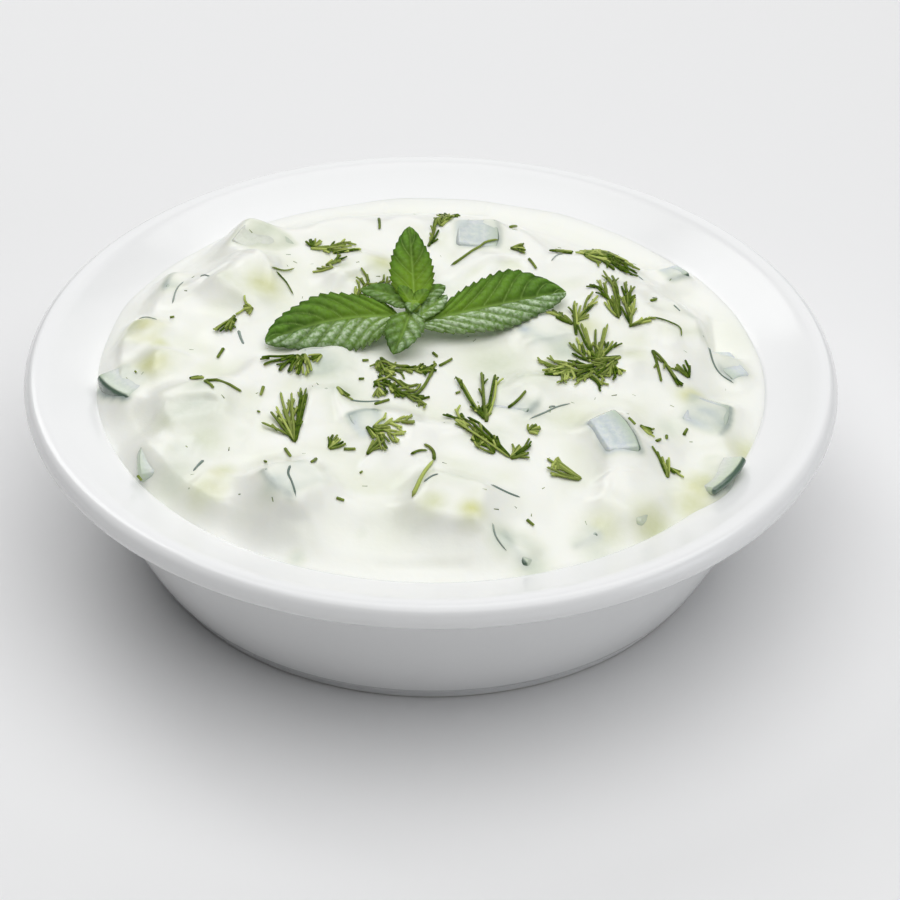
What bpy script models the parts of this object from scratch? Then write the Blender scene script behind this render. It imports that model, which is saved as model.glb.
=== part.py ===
"""Tzatziki in its bowl, in metres, with +Z up and the origin under the middle of the foot.

The bowl is one turned piece of white porcelain with a sloping rim. The dip is heaped in it. The pieces of
cucumber that stand out of the dip are solids of their own, each in a pocket of the dip, and a sprig of mint
lies on top. +Y points to the back, away from whoever the bowl stands in front of.
"""

import math

import bmesh
import bpy
from mathutils import Euler, Matrix, Vector

MM = 0.001
GAP = 0.3

# Bowl, in millimetres.
RIM_RADIUS = 85.0
RIM_HEIGHT = 42.0
LIP_ROUNDING = 3.0
MOUTH_RADIUS = 70.2
MOUTH_HEIGHT = 37.1
NECK_RADIUS = 71.7
NECK_HEIGHT = 32.5
WAIST_RADIUS = 62.6
WAIST_HEIGHT = 3.0
WALL_POWER = 1.8
WALL_THICKNESS = 4.4
FOOT_OUTER = 61.0
FOOT_INNER = 56.5
FOOT_RECESS = 2.4
FLOOR_RADIUS = 51.0
FLOOR_HEIGHT = 7.0
SEGMENTS = 52

# Dip, in millimetres.
EDGE_LEVEL = 36.9
CROWN_LEVEL = 43.4
SHOULDER = 20.0
SHOULDER_POWER = 2.2
MOUND_RADIUS = 65.0
MOUND_SHIFT = 4.5
MOUND_SHIFT_TURN = 15.0
HOLLOW_TURN = 232.0
HOLLOW_SPREAD = 28.0
HOLLOW_DEPTH = 3.0
DIP_RINGS = 12

# Broad lumps and one hollow in the dip: x, y, radius, height.
LUMPS = (
    (-40, 24, 14, 1.6),
    (-16, 32, 10, 0.9),
    (52, 10, 13, 1.2),
    (14, -10, 16, -0.8),
    (-50, -28, 13, 1.2),
    (38, -32, 12, 1.0),
    (-27, -52, 12, 1.0),
    (4, -52, 12, 0.8),
    (38, -50, 12, 1.0),
    (-62, 8, 10, 0.8),
    (10, 46, 11, 0.8),
    (-37, 40, 12, 0.8),
    (-5, -32, 14, 0.8),
    (28, 36, 13, 0.6),
)

# Cucumber: x and y of the middle, how far the highest point stands over the dip there, then the turn of the
# skin side, its lift and the roll, in degrees, and the size from the core to the skin, across and through.
CUCUMBER = (
    (-38.0, 42.0, 3.6, 55, 8, 10, 10, 14.5, 8),
    (9.5, 43.5, 3.0, 2, -3, 9, 10, 10.5, 7),
    (52.8, 38.2, 2.9, -54, -6, 0, 5, 7, 4.0),
    (62.6, 3.4, 2.0, 202, 4, 0, 6, 12, 4.5),
    (56.3, -16.8, 2.8, -14, -14, 0, 10, 12, 6),
    (57.2, -35.8, 4.0, -32, 20, 0, 10, 14.0, 2.0),
    (36.8, -31.4, 3.4, 25, 0, 10, 8, 12.5, 7),
    (40.0, -45.5, 3.2, -22, -14, 0, 11, 14, 5),
    (19.0, -60.0, 2.2, 215, 14, -12, 8, 9, 5),
    (30.0, -55.5, 2.0, -60, 10, 16, 7, 7, 5),
    (4.5, -52.5, 2.0, 250, -10, 0, 10, 14, 6),
    (-26.5, -49.0, 4.0, 215, 6, 0, 10, 11, 10),
    (-47.5, -21.0, 2.4, 100, 6, -10, 12, 14, 7),
    (-51.9, -35.3, 2.2, 184, -6, -10, 13, 9, 4),
    (-63.2, -11.0, 2.9, 220, -4, 4, 8, 12, 4),
    (-60.5, 5.0, 2.2, 160, -10, 0, 8, 10, 6),
    (-54.5, -7.0, 2.2, 80, 8, 10, 7.5, 7.5, 6),
    (-42.0, -45.5, 2.2, 235, -10, 0, 8, 10, 5),
    (-22.0, -6.0, 2.0, 280, -8, 0, 9, 11, 6),
    (-24.0, -23.5, 2.6, -2, 12, 10, 11, 15, 7),
    (-12.6, -29.0, 2.4, 110, 12, 0, 8, 7.5, 6),
    (23.0, 6.0, 2.4, -55, 8, -10, 10, 11, 7),
    (18.5, -18.5, 2.6, -18, 10, -10, 10, 13, 7),
    (-39.0, 22.5, 2.6, 130, 10, 12, 13, 14, 8),
    (50.5, 12.5, 2.4, 26, -12, 0, 11, 15, 7),
    (-17.0, 27.5, 2.6, 140, 12, 14, 9, 11, 6),
    (-54.5, 25.0, 2.4, 165, 12, 8, 8, 8, 6),
)
SKIN_RADIUS = 21.0
SKIN_STEPS = 3
CORE_SHARE = 0.78
CUCUMBER_ROUNDING = 0.7

# Mint: where each leaf starts and ends, its width, the roll about its own midrib in degrees, how far it
# arches up, how deep it is folded along the midrib, and its teeth on each side.
MINT_LEAVES = (
    ("left", (-5.0, 7.0, 48.2), (-34.6, -0.6, 45.8), 16.0, -18, 1.4, 0.16, 8),
    ("right", (-3.0, 6.4, 48.2), (28.4, 18.3, 47.2), 15.6, 18, 1.6, 0.20, 8),
    ("top", (-4.0, 8.6, 49.2), (-5.3, 27.4, 56.2), 10.4, 0, -1.2, 0.30, 6),
    ("front", (-4.4, 6.6, 49.2), (-7.9, -4.6, 46.2), 8.6, 0, 0.8, 0.25, 4),
    ("back_left", (-4.8, 8.6, 49.0), (-15.0, 14.7, 48.8), 7.0, 0, 0.6, 0.25, 3),
    ("back_right", (-3.2, 8.8, 49.2), (2.7, 14.8, 49.8), 6.0, 0, 0.4, 0.25, 3),
)
LEAF_THICKNESS = 0.7
LEAF_TOOTH = 0.16
TIP_SHARE = 0.06
STEM_RADIUS = 1.2
STEM_FOOT = (-3.9, 7.6, 41.0)
STEM_TOP = (-4.0, 7.8, 49.8)
BUD_RADIUS = 2.1


def clear_scene():
    """Empties the scene."""
    for leftover in list(bpy.data.objects):
        bpy.data.objects.remove(leftover)


def finish(name, colour, roughness):
    """A plain finish for one sub-part."""
    material = bpy.data.materials.new(name)
    material.use_nodes = True
    shader = material.node_tree.nodes["Principled BSDF"]
    shader.inputs["Base Color"].default_value = (*colour, 1)
    shader.inputs["Roughness"].default_value = roughness
    shader.inputs["Metallic"].default_value = 0
    return material


def place(bm, name, material):
    """Turns a mesh in millimetres into a named object in metres."""
    bmesh.ops.scale(bm, vec=(MM, MM, MM), verts=bm.verts)
    bmesh.ops.recalc_face_normals(bm, faces=bm.faces)
    mesh = bpy.data.meshes.new(name)
    bm.to_mesh(mesh)
    bm.free()
    part = bpy.data.objects.new(name, mesh)
    bpy.context.scene.collection.objects.link(part)
    mesh.materials.append(material)
    return part


def make_helper(part):
    """Keeps a cutter or a shape that is joined to another out of the finished part."""
    part.hide_render = True
    part.display_type = "WIRE"
    return part


def smooth(part, degrees):
    """Shades a round piece smooth, with sharp edges past the given angle."""
    part.data.shade_smooth()
    part.data.set_sharp_from_angle(angle=math.radians(degrees))


def boolean(part, other, operation):
    """Cuts another shape from a part, or joins it on."""
    change = part.modifiers.new(f"{operation.lower()}_{other.name}", "BOOLEAN")
    change.operation = operation
    change.solver = "EXACT"
    change.object = other


def arc(centre, radius, start, end, steps):
    """Points on an arc in the profile's plane, between two angles in degrees."""
    angles = (math.radians(start + (end - start) * i / steps) for i in range(steps + 1))
    return [(centre[0] + radius * math.cos(a), centre[1] + radius * math.sin(a)) for a in angles]


def wall_radius(height):
    """Outer radius of the bowl's side, which is steepest at the neck."""
    share = (height - WAIST_HEIGHT) / (NECK_HEIGHT - WAIST_HEIGHT)
    share = min(max(share, 0), 1)
    return WAIST_RADIUS + (NECK_RADIUS - WAIST_RADIUS) * (1 - (1 - share) ** WALL_POWER)


def bowl_inside(clearance):
    """The bowl's inner profile from the mouth down to the axis, moved inwards by a clearance."""
    profile = [
        (MOUTH_RADIUS - clearance, MOUTH_HEIGHT - clearance * 0.4),
        (MOUTH_RADIUS - 0.9 - clearance, MOUTH_HEIGHT - 1.4),
    ]
    for height in (33.5, 26.5, 19.0, 12.5):
        profile.append((wall_radius(height) - WALL_THICKNESS - clearance, height + 0.4 * clearance))
    profile.append((0.5 * (wall_radius(9.0) - WALL_THICKNESS + FLOOR_RADIUS), 8.6 + clearance))
    profile.append((FLOOR_RADIUS - clearance, FLOOR_HEIGHT + clearance))
    profile.append((0, FLOOR_HEIGHT + clearance))
    return profile


def turn(profile, bm):
    """Spins a profile that starts and ends on the axis once round it."""
    verts = [bm.verts.new((radius, 0, height)) for radius, height in profile]
    edges = [bm.edges.new(pair) for pair in zip(verts, verts[1:])]
    bmesh.ops.spin(
        bm,
        geom=verts + edges,
        axis=(0, 0, 1),
        cent=(0, 0, 0),
        angle=2 * math.pi,
        steps=SEGMENTS,
        use_merge=True,
    )
    bmesh.ops.remove_doubles(bm, verts=bm.verts, dist=1e-4)


def make_bowl():
    """The dish: a recessed foot, a side that curves up to the neck, and a wide rim that slopes inwards."""
    lip_centre = (RIM_RADIUS - LIP_ROUNDING, RIM_HEIGHT - LIP_ROUNDING)
    profile = [(0, FOOT_RECESS), (FOOT_INNER - 2, FOOT_RECESS), (FOOT_INNER, 0), (FOOT_OUTER - 0.7, 0)]
    profile += [(FOOT_OUTER, 0.7), (FOOT_OUTER, WAIST_HEIGHT - 0.7)]
    for height in (WAIST_HEIGHT, 8.0, 13.0, 18.5, 25.5, NECK_HEIGHT):
        profile.append((wall_radius(height), height))
    profile += [(NECK_RADIUS + 1.3, NECK_HEIGHT + 2.1), (NECK_RADIUS + 4.0, NECK_HEIGHT + 3.2)]
    profile += arc(lip_centre, LIP_ROUNDING, -90, 90, 4)
    profile += bowl_inside(0)
    bm = bmesh.new()
    turn(profile, bm)
    bowl = place(bm, "bowl", finish("porcelain", (0.90, 0.90, 0.89), 0.12))
    smooth(bowl, 35)
    return bowl


def mound_radius(angle):
    """How far out the heap reaches at an angle. Beyond it the dip is level up to the bowl."""
    shift = MOUND_SHIFT * math.cos(angle - math.radians(MOUND_SHIFT_TURN))
    away = math.degrees(angle) - HOLLOW_TURN
    away = (away + 180) % 360 - 180
    return MOUND_RADIUS - shift - HOLLOW_DEPTH * math.exp(-((away / HOLLOW_SPREAD) ** 2))


def dip_height(x, y):
    """Height of the dip's surface, in millimetres."""
    share = (mound_radius(math.atan2(y, x)) - math.hypot(x, y)) / SHOULDER
    share = min(max(share, 0), 1)
    rise = 1 - (1 - share) ** SHOULDER_POWER
    height = EDGE_LEVEL + (CROWN_LEVEL - EDGE_LEVEL) * rise
    for lump_x, lump_y, radius, lump in LUMPS:
        away = math.hypot(x - lump_x, y - lump_y) / radius
        if away < 1:
            height += rise * lump * math.cos(away * math.pi / 2) ** 2
    return height


def make_dip():
    """The dip: it fills the bowl up to its mouth and is heaped towards the middle."""
    edge_radius = MOUTH_RADIUS - GAP
    inside = bowl_inside(GAP)
    rings = [(edge_radius * (i / DIP_RINGS) ** 0.85, EDGE_LEVEL + 1) for i in range(DIP_RINGS)]
    bm = bmesh.new()
    turn(inside[::-1] + rings[::-1], bm)
    for vert in bm.verts:
        if vert.co.z > EDGE_LEVEL + 0.5:
            vert.co.z = dip_height(vert.co.x, vert.co.y)
    dip = place(bm, "dip", finish("dip_cream", (0.93, 0.935, 0.90), 0.35))
    smooth(dip, 50)
    return dip


def cucumber_mesh(depth, across, through, clearance):
    """A piece cut from a slice: a block that widens from the core to a round skin side at +X."""
    depth += 2 * clearance
    across += 2 * clearance
    through += 2 * clearance
    core = across * CORE_SHARE / 2
    outline = [(-depth / 2, core), (-depth / 2, -core)]
    for i in range(SKIN_STEPS + 1):
        y = across * (i / SKIN_STEPS - 0.5)
        outline.append((depth / 2 + math.sqrt(SKIN_RADIUS**2 - y**2) - SKIN_RADIUS, y))
    bm = bmesh.new()
    face = bm.faces.new([bm.verts.new((x, y, -through / 2)) for x, y in outline])
    sides = bmesh.ops.extrude_face_region(bm, geom=[face])
    top = [item for item in sides["geom"] if isinstance(item, bmesh.types.BMVert)]
    bmesh.ops.translate(bm, verts=top, vec=(0, 0, through))
    bmesh.ops.recalc_face_normals(bm, faces=bm.faces)
    corners = [edge for edge in bm.edges if edge.calc_face_angle() > math.radians(50)]
    bmesh.ops.bevel(
        bm, geom=corners, offset=CUCUMBER_ROUNDING, offset_type="OFFSET", segments=1, profile=0.5,
        affect="EDGES", clamp_overlap=True, material=-1,
    )
    return bm


def make_cucumber(dip, flesh):
    """The pieces of cucumber that stand out of the dip, each in a pocket that clears it all round."""
    for number, row in enumerate(CUCUMBER, 1):
        x, y, over, turned, lift, roll, depth, across, through = row
        turning = Euler([math.radians(a) for a in (roll, -lift, turned)]).to_matrix()
        highest = 0.5 * sum(abs(a * b) for a, b in zip(turning[2], (depth, across, through)))
        where = Matrix.Translation((x, y, dip_height(x, y) + over - highest)) @ turning.to_4x4()
        for clearance in (0, GAP):
            bm = cucumber_mesh(depth, across, through, clearance)
            bmesh.ops.transform(bm, matrix=where, verts=bm.verts)
            name = f"cucumber_{number:02d}" if clearance == 0 else f"pocket_{number:02d}"
            piece = place(bm, name, flesh)
            if clearance:
                boolean(dip, make_helper(piece), "DIFFERENCE")


def leaf_half_width(along, teeth):
    """Half the width of a leaf as a share of its widest, with a saw edge, from base to tip."""
    body = math.sin(math.pi * along**0.8) ** 0.75
    tooth = 1 - (along * teeth * 2 % 2) / 2
    return TIP_SHARE + (1 - TIP_SHARE) * body * (1 + LEAF_TOOTH * (tooth - 0.5))


def make_leaf(row, green):
    """A mint leaf: a grid bent round its midrib, which is thickened afterwards."""
    name, start, end, width, roll, arch, fold, teeth = row
    start, end = Vector(start), Vector(end)
    along = (end - start).normalized()
    side = Vector((0, 0, 1)).cross(along).normalized()
    side.rotate(Matrix.Rotation(math.radians(roll), 3, along))
    up = along.cross(side)
    bm = bmesh.new()
    bmesh.ops.create_grid(bm, x_segments=2 * teeth, y_segments=4, size=0.5)
    length = (end - start).length
    for vert in bm.verts:
        share, across = vert.co.x + 0.5, 2 * vert.co.y
        half = width / 2 * leaf_half_width(share, teeth)
        rise = arch * 4 * share * (1 - share) + fold * abs(across) * half
        vert.co = start + along * (share * length) + side * (across * half) + up * rise
    leaf = place(bm, f"leaf_{name}", green)
    shell = leaf.modifiers.new("shell", "SOLIDIFY")
    shell.thickness = LEAF_THICKNESS * MM
    shell.offset = 0
    return make_helper(leaf)


def make_mint():
    """The sprig: a short stem pushed into the dip, a bud, and leaves round them, all one solid."""
    green = finish("mint_green", (0.07, 0.20, 0.04), 0.5)
    foot, top = Vector(STEM_FOOT), Vector(STEM_TOP)
    bm = bmesh.new()
    bmesh.ops.create_cone(
        bm, cap_ends=True, segments=10, radius1=STEM_RADIUS, radius2=STEM_RADIUS * 1.25,
        depth=(top - foot).length,
    )
    direction = (top - foot).to_track_quat("Z", "Y").to_matrix().to_4x4()
    bmesh.ops.transform(bm, matrix=Matrix.Translation((foot + top) / 2) @ direction, verts=bm.verts)
    sprig = place(bm, "mint_sprig", green)
    bm = bmesh.new()
    bmesh.ops.create_icosphere(bm, subdivisions=1, radius=BUD_RADIUS)
    bmesh.ops.translate(bm, verts=bm.verts, vec=top)
    boolean(sprig, make_helper(place(bm, "bud", green)), "UNION")
    for row in MINT_LEAVES:
        boolean(sprig, make_leaf(row, green), "UNION")
    smooth(sprig, 40)


def make_stem_pocket(dip, cream):
    """The hole in the dip round the foot of the sprig's stem."""
    foot = Vector(STEM_FOOT)
    bm = bmesh.new()
    bmesh.ops.create_cone(
        bm, cap_ends=True, segments=12, radius1=STEM_RADIUS + 2 * GAP, radius2=STEM_RADIUS + 2 * GAP,
        depth=10,
    )
    bmesh.ops.translate(bm, verts=bm.verts, vec=foot + Vector((0, 0, 5 - GAP)))
    boolean(dip, make_helper(place(bm, "stem_pocket", cream)), "DIFFERENCE")


def main():
    clear_scene()
    make_bowl()
    dip = make_dip()
    make_cucumber(dip, finish("cucumber", (0.62, 0.70, 0.48), 0.3))
    make_stem_pocket(dip, dip.data.materials[0])
    make_mint()


main()
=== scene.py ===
"""Tzatziki in a white porcelain bowl: the looks of every piece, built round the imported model.

Shapes are worked out in millimetres and put into the scene in metres. +Y points to the back of the bowl.
"""

import math
import random

import bmesh
import bpy
import numpy as np
from mathutils import Euler, Matrix, Vector
from mathutils.bvhtree import BVHTree

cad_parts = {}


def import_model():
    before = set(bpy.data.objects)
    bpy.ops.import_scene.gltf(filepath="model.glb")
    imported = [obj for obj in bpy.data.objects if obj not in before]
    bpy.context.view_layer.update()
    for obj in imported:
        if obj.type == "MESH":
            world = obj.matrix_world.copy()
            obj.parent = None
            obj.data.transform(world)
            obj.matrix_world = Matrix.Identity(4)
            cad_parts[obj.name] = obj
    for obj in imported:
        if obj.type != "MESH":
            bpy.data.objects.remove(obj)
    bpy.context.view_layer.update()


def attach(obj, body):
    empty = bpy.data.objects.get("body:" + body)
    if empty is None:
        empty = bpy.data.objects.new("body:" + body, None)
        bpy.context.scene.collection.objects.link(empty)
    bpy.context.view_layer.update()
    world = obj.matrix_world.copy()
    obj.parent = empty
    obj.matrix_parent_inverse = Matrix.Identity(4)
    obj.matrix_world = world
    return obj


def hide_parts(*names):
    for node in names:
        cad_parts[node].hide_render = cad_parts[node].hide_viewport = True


MM = 0.001

# Bowl, in millimetres.
RIM_RADIUS = 85.0
RIM_HEIGHT = 42.0
LIP_ROUNDING = 3.0
RIM_SAG = 0.25
MOUTH_RADIUS = 70.2
MOUTH_HEIGHT = 37.1
NECK_RADIUS = 71.7
NECK_HEIGHT = 32.5
WAIST_RADIUS = 62.6
WAIST_HEIGHT = 3.0
WALL_POWER = 1.8
WALL_THICKNESS = 4.4
FOOT_OUTER = 61.0
FOOT_INNER = 56.5
FOOT_RECESS = 2.4
FLOOR_RADIUS = 51.0
FLOOR_HEIGHT = 7.0
BOWL_STEPS = 200

# Dip, in millimetres: the level along the bowl, the heap and its broad lumps (x, y, radius, height).
EDGE_LEVEL = 36.9
CROWN_LEVEL = 43.4
SHOULDER = 20.0
SHOULDER_POWER = 2.2
FRONT_TURN = -20.0
FRONT_SHOULDER = 36.0
FRONT_POWER = 1.6
FRONT_REACH = 4.0
MOUND_RADIUS = 65.0
MOUND_SHIFT = 4.5
MOUND_SHIFT_TURN = 15.0
HOLLOW_TURN = 232.0
HOLLOW_SPREAD = 28.0
HOLLOW_DEPTH = 3.0
NEAR_EDGE = 54.0
NEAR_EDGE_WIDTH = 15.0
LUMPS = (
    (-40, 24, 14, 1.6),
    (-16, 32, 10, 0.9),
    (52, 10, 13, 1.2),
    (14, -10, 16, -0.8),
    (-50, -28, 13, 1.2),
    (38, -32, 12, 1.0),
    (-27, -52, 12, 1.0),
    (4, -52, 12, 0.8),
    (38, -50, 12, 1.0),
    (-62, 8, 10, 0.8),
    (10, 46, 11, 0.8),
    (-37, 40, 12, 0.8),
    (-5, -32, 14, 0.8),
    (28, 36, 13, 0.6),
)

# The raster that holds heights and colours, and how the cream closes over what lies in it.
CELL = 0.4
FIELD_HALF = 74.0
DIP_STEPS = 290
EDGE_ROUNDING = 5.6
EDGE_POWER = 1.7
FILLET = 9.0
FLESH_FADE = 0.9
SKIN_FADE = 1.3
CREAM_BLUR = 0.55
THINNEST_FILM = 0.14
SWELL_RADIUS = 1.6
SWELL_BLUR = 0.8
SWELL_REACH = 2.8
UNEVEN_RADIUS = 66.0
UNEVEN_FADE = 14.0
LOWEST_TOP = 20.0
CREASE_BLUR = 0.3
CREASE_HEIGHT = 1.8

# Random ups and downs: the seed, the spread and the height.
BROAD_RIPPLE = (3, 5.0, 0.34)
FINE_RIPPLE = (4, 2.2, 0.10)
FILM_RIPPLE = (5, 1.9, 0.22)
MOTTLE_RIPPLE = (6, 1.4, 0.25)
# This ripple varies the painted shade in the cream's hollows.
SHADE_RIPPLE = (7, 3.0, 0.06)

# Painted shade and stains in the cream: how strong the shade is in hollows, beside folds and on slopes, and
# the colours of the shade and of what shows through.
HOLLOW_REACH = 2.4
HOLLOW_FULL = 0.5
HOLLOW_SHADE = 0.56
SLOPE_SHADE = 0.05
CREASE_SHADE = 1.2
HOLLOW_SHADE_COLOUR = (0.71, 0.75, 0.52)
STAIN_AND_SHADE_COLOUR = (0.56, 0.64, 0.59)
STAIN_AND_SHADE_YELLOWING = (0.12, 0.05, -0.30)
SKIN_COLOUR = (0.20, 0.27, 0.25)
PALE_FLESH = (0.70, 0.73, 0.60)
GREEN_FLESH = (0.56, 0.63, 0.47)
YELLOW_FLESH = (0.70, 0.70, 0.42)
GLASSY_FLESH = (0.57, 0.635, 0.645)
RIND_COLOUR = (0.50, 0.58, 0.44)

# Cucumber: the turn, lift and roll of each piece with its skin at +X, how thick the cream lies on it, how
# clearly it shows through, how green, how yellow and how glassy its flesh is, and how much peel it kept.
CUCUMBER = (
    (55, 8, 10, 0.00, 0.85, 0.3, 0.3, 0.2, 0.0),
    (2, -3, 9, -0.40, 0.95, 0.5, 0.0, 0.8, 0.7),
    (-54, -6, 0, -0.05, 0.90, 0.1, 0.0, 1.0, 1.0),
    (202, 4, 0, 0.30, 0.75, 0.0, 0.0, 1.0, 0.9),
    (-14, -14, 0, 0.10, 0.85, 0.5, 0.1, 0.8, 1.0),
    (-32, 20, 0, 0.35, 0.80, 0.3, 0.2, 0.3, 0.8),
    (25, 0, 10, -0.45, 0.92, 0.0, 0.0, 1.0, 0.8),
    (-22, -14, 0, 1.00, 0.40, 0.1, 0.3, 0.0, 0.0),
    (215, 14, -12, 0.50, 0.80, 0.5, 0.2, 0.4, 0.6),
    (-60, 10, 16, 0.10, 0.80, 0.0, 0.0, 1.0, 0.4),
    (250, -10, 0, 1.05, 0.50, 0.4, 1.0, 0.0, 0.0),
    (215, 6, 0, 0.35, 0.80, 0.1, 0.0, 1.0, 0.8),
    (100, 6, -10, 0.60, 0.85, 0.6, 0.2, 0.4, 0.0),
    (184, -6, -10, 1.20, 0.70, 0.3, 0.1, 0.8, 0.0),
    (220, -4, 4, -0.10, 0.90, 0.5, 0.1, 0.6, 1.0),
    (160, -10, 0, 0.50, 0.90, 0.3, 1.0, 0.0, 0.0),
    (80, 8, 10, 0.65, 0.65, 0.2, 0.9, 0.0, 0.0),
    (235, -10, 0, 0.55, 0.80, 0.3, 1.0, 0.0, 0.0),
    (280, -8, 0, 0.45, 0.85, 0.8, 0.2, 0.6, 0.3),
    (-2, 12, 10, 0.05, 0.60, 0.1, 0.1, 0.5, 0.0),
    (110, 12, 0, 0.15, 0.85, 0.1, 0.0, 1.0, 1.0),
    (-55, 8, -10, 0.15, 0.85, 0.1, 0.0, 1.0, 0.4),
    (-18, 10, -10, 0.10, 0.90, 0.1, 0.1, 0.9, 0.9),
    (130, 10, 12, 0.75, 0.80, 0.3, 0.6, 0.3, 0.0),
    (26, -12, 0, 0.80, 0.80, 0.3, 0.5, 0.3, 0.3),
    (140, 12, 14, 0.55, 0.75, 0.2, 0.9, 0.0, 0.0),
    (165, 12, 8, 0.35, 0.75, 0.5, 0.3, 0.7, 0.9),
)
SLICE_RADIUS = 21.0
RIND_RADIUS = 17.4
RIND_WIDTH = 2.8
SKIN_RADIUS = 20.0
WORN_CORNER = 0.22
LONGEST_EDGE = 1.6

# Mint: where each leaf starts, passes and ends along its midrib; then for the half on the left of that way
# and the half on its right the width, where along the leaf it is widest, and its tilt up or down in degrees;
# then the teeth on each side, how fresh its green is, and how much painted sheen each half carries.
MINT_LEAVES = (
    (
        "left", (-7.0, 6.0, 47.3), (-20.9, 4.9, 46.9), (-34.6, -1.2, 45.2),
        (8.4, 0.42, -11), (7.7, 0.5, 24), 15, 0.5, 0.8, 0.05,
    ),
    (
        "right", (-3.0, 4.4, 46.8), (12.4, 11.3, 47.0), (28.4, 18.5, 46.2),
        (8.9, 0.66, 24), (6.7, 0.47, -8), 16, 0.5, 0.05, 1.0,
    ),
    (
        "top", (-3.8, 10.3, 48.2), (-4.5, 18.6, 52.2), (-5.3, 27.9, 56.2),
        (5.4, 0.36, 22), (4.8, 0.36, 22), 11, 0.9, 0.05, 0.05,
    ),
    (
        "front", (-4.7, 5.6, 49.0), (-6.0, -0.3, 47.6), (-7.9, -4.9, 45.4),
        (4.4, 0.38, 14), (4.2, 0.42, 20), 8, 0.4, 0.7, 0.25,
    ),
    (
        "back_left", (-5.0, 8.8, 48.4), (-9.9, 12.7, 48.8), (-15.3, 14.7, 48.4),
        (3.6, 0.48, 10), (3.6, 0.48, 14), 8, 0.3, 0.3, 0.1,
    ),
    (
        "back_right", (-3.1, 9.6, 48.4), (-0.6, 12.4, 49.4), (2.6, 14.6, 49.8),
        (3.0, 0.5, 10), (3.0, 0.5, 10), 6, 0.3, 0.1, 0.5,
    ),
    (
        "low_right", (-3.0, 4.4, 48.2), (-0.1, 7.9, 49.0), (3.0, 12.2, 49.0),
        (2.3, 0.45, 20), (2.3, 0.45, 0), 6, 0.4, 0.5, 0.9,
    ),
    (
        "low_left", (-4.6, 7.4, 49.2), (-7.4, 8.4, 49.9), (-10.0, 8.6, 49.6),
        (2.2, 0.45, 0), (2.2, 0.45, 20), 6, 0.4, 0.5, 0.2,
    ),
    (
        "bud_left", (-4.2, 7.6, 49.2), (-5.8, 9.2, 51.0), (-6.9, 11.2, 52.0),
        (1.9, 0.45, 25), (1.9, 0.45, 25), 5, 1.0, 0.0, 0.1,
    ),
    (
        "bud_right", (-3.6, 7.6, 49.2), (-2.2, 9.2, 50.6), (-1.1, 10.8, 51.4),
        (1.9, 0.45, 25), (1.9, 0.45, 25), 5, 0.9, 0.1, 0.0,
    ),
    (
        "bud_front", (-4.0, 7.6, 49.4), (-4.2, 5.8, 50.4), (-4.5, 3.8, 50.2),
        (1.8, 0.45, 20), (1.8, 0.45, 20), 4, 0.6, 0.3, 0.5,
    ),
)
LEAF_THICKNESS = 0.5
LEAF_STEP = 0.24
LEAF_GIRTH_STEP = 0.2
LEAF_RELIEF = 0.038
MIDRIB_DEPTH = 0.10
TOOTH_DEPTH = 0.13
VEIN_SPACING = 4.4
TIP_SHARE = 0.04
OUTLINE_POWER = 0.7
STEM_RADIUS = 1.0
STEM_FOOT = (-3.9, 7.8, 41.0)
STEM_TOP = (-4.0, 7.6, 48.7)
BUD_RADIUS = 1.8

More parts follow.
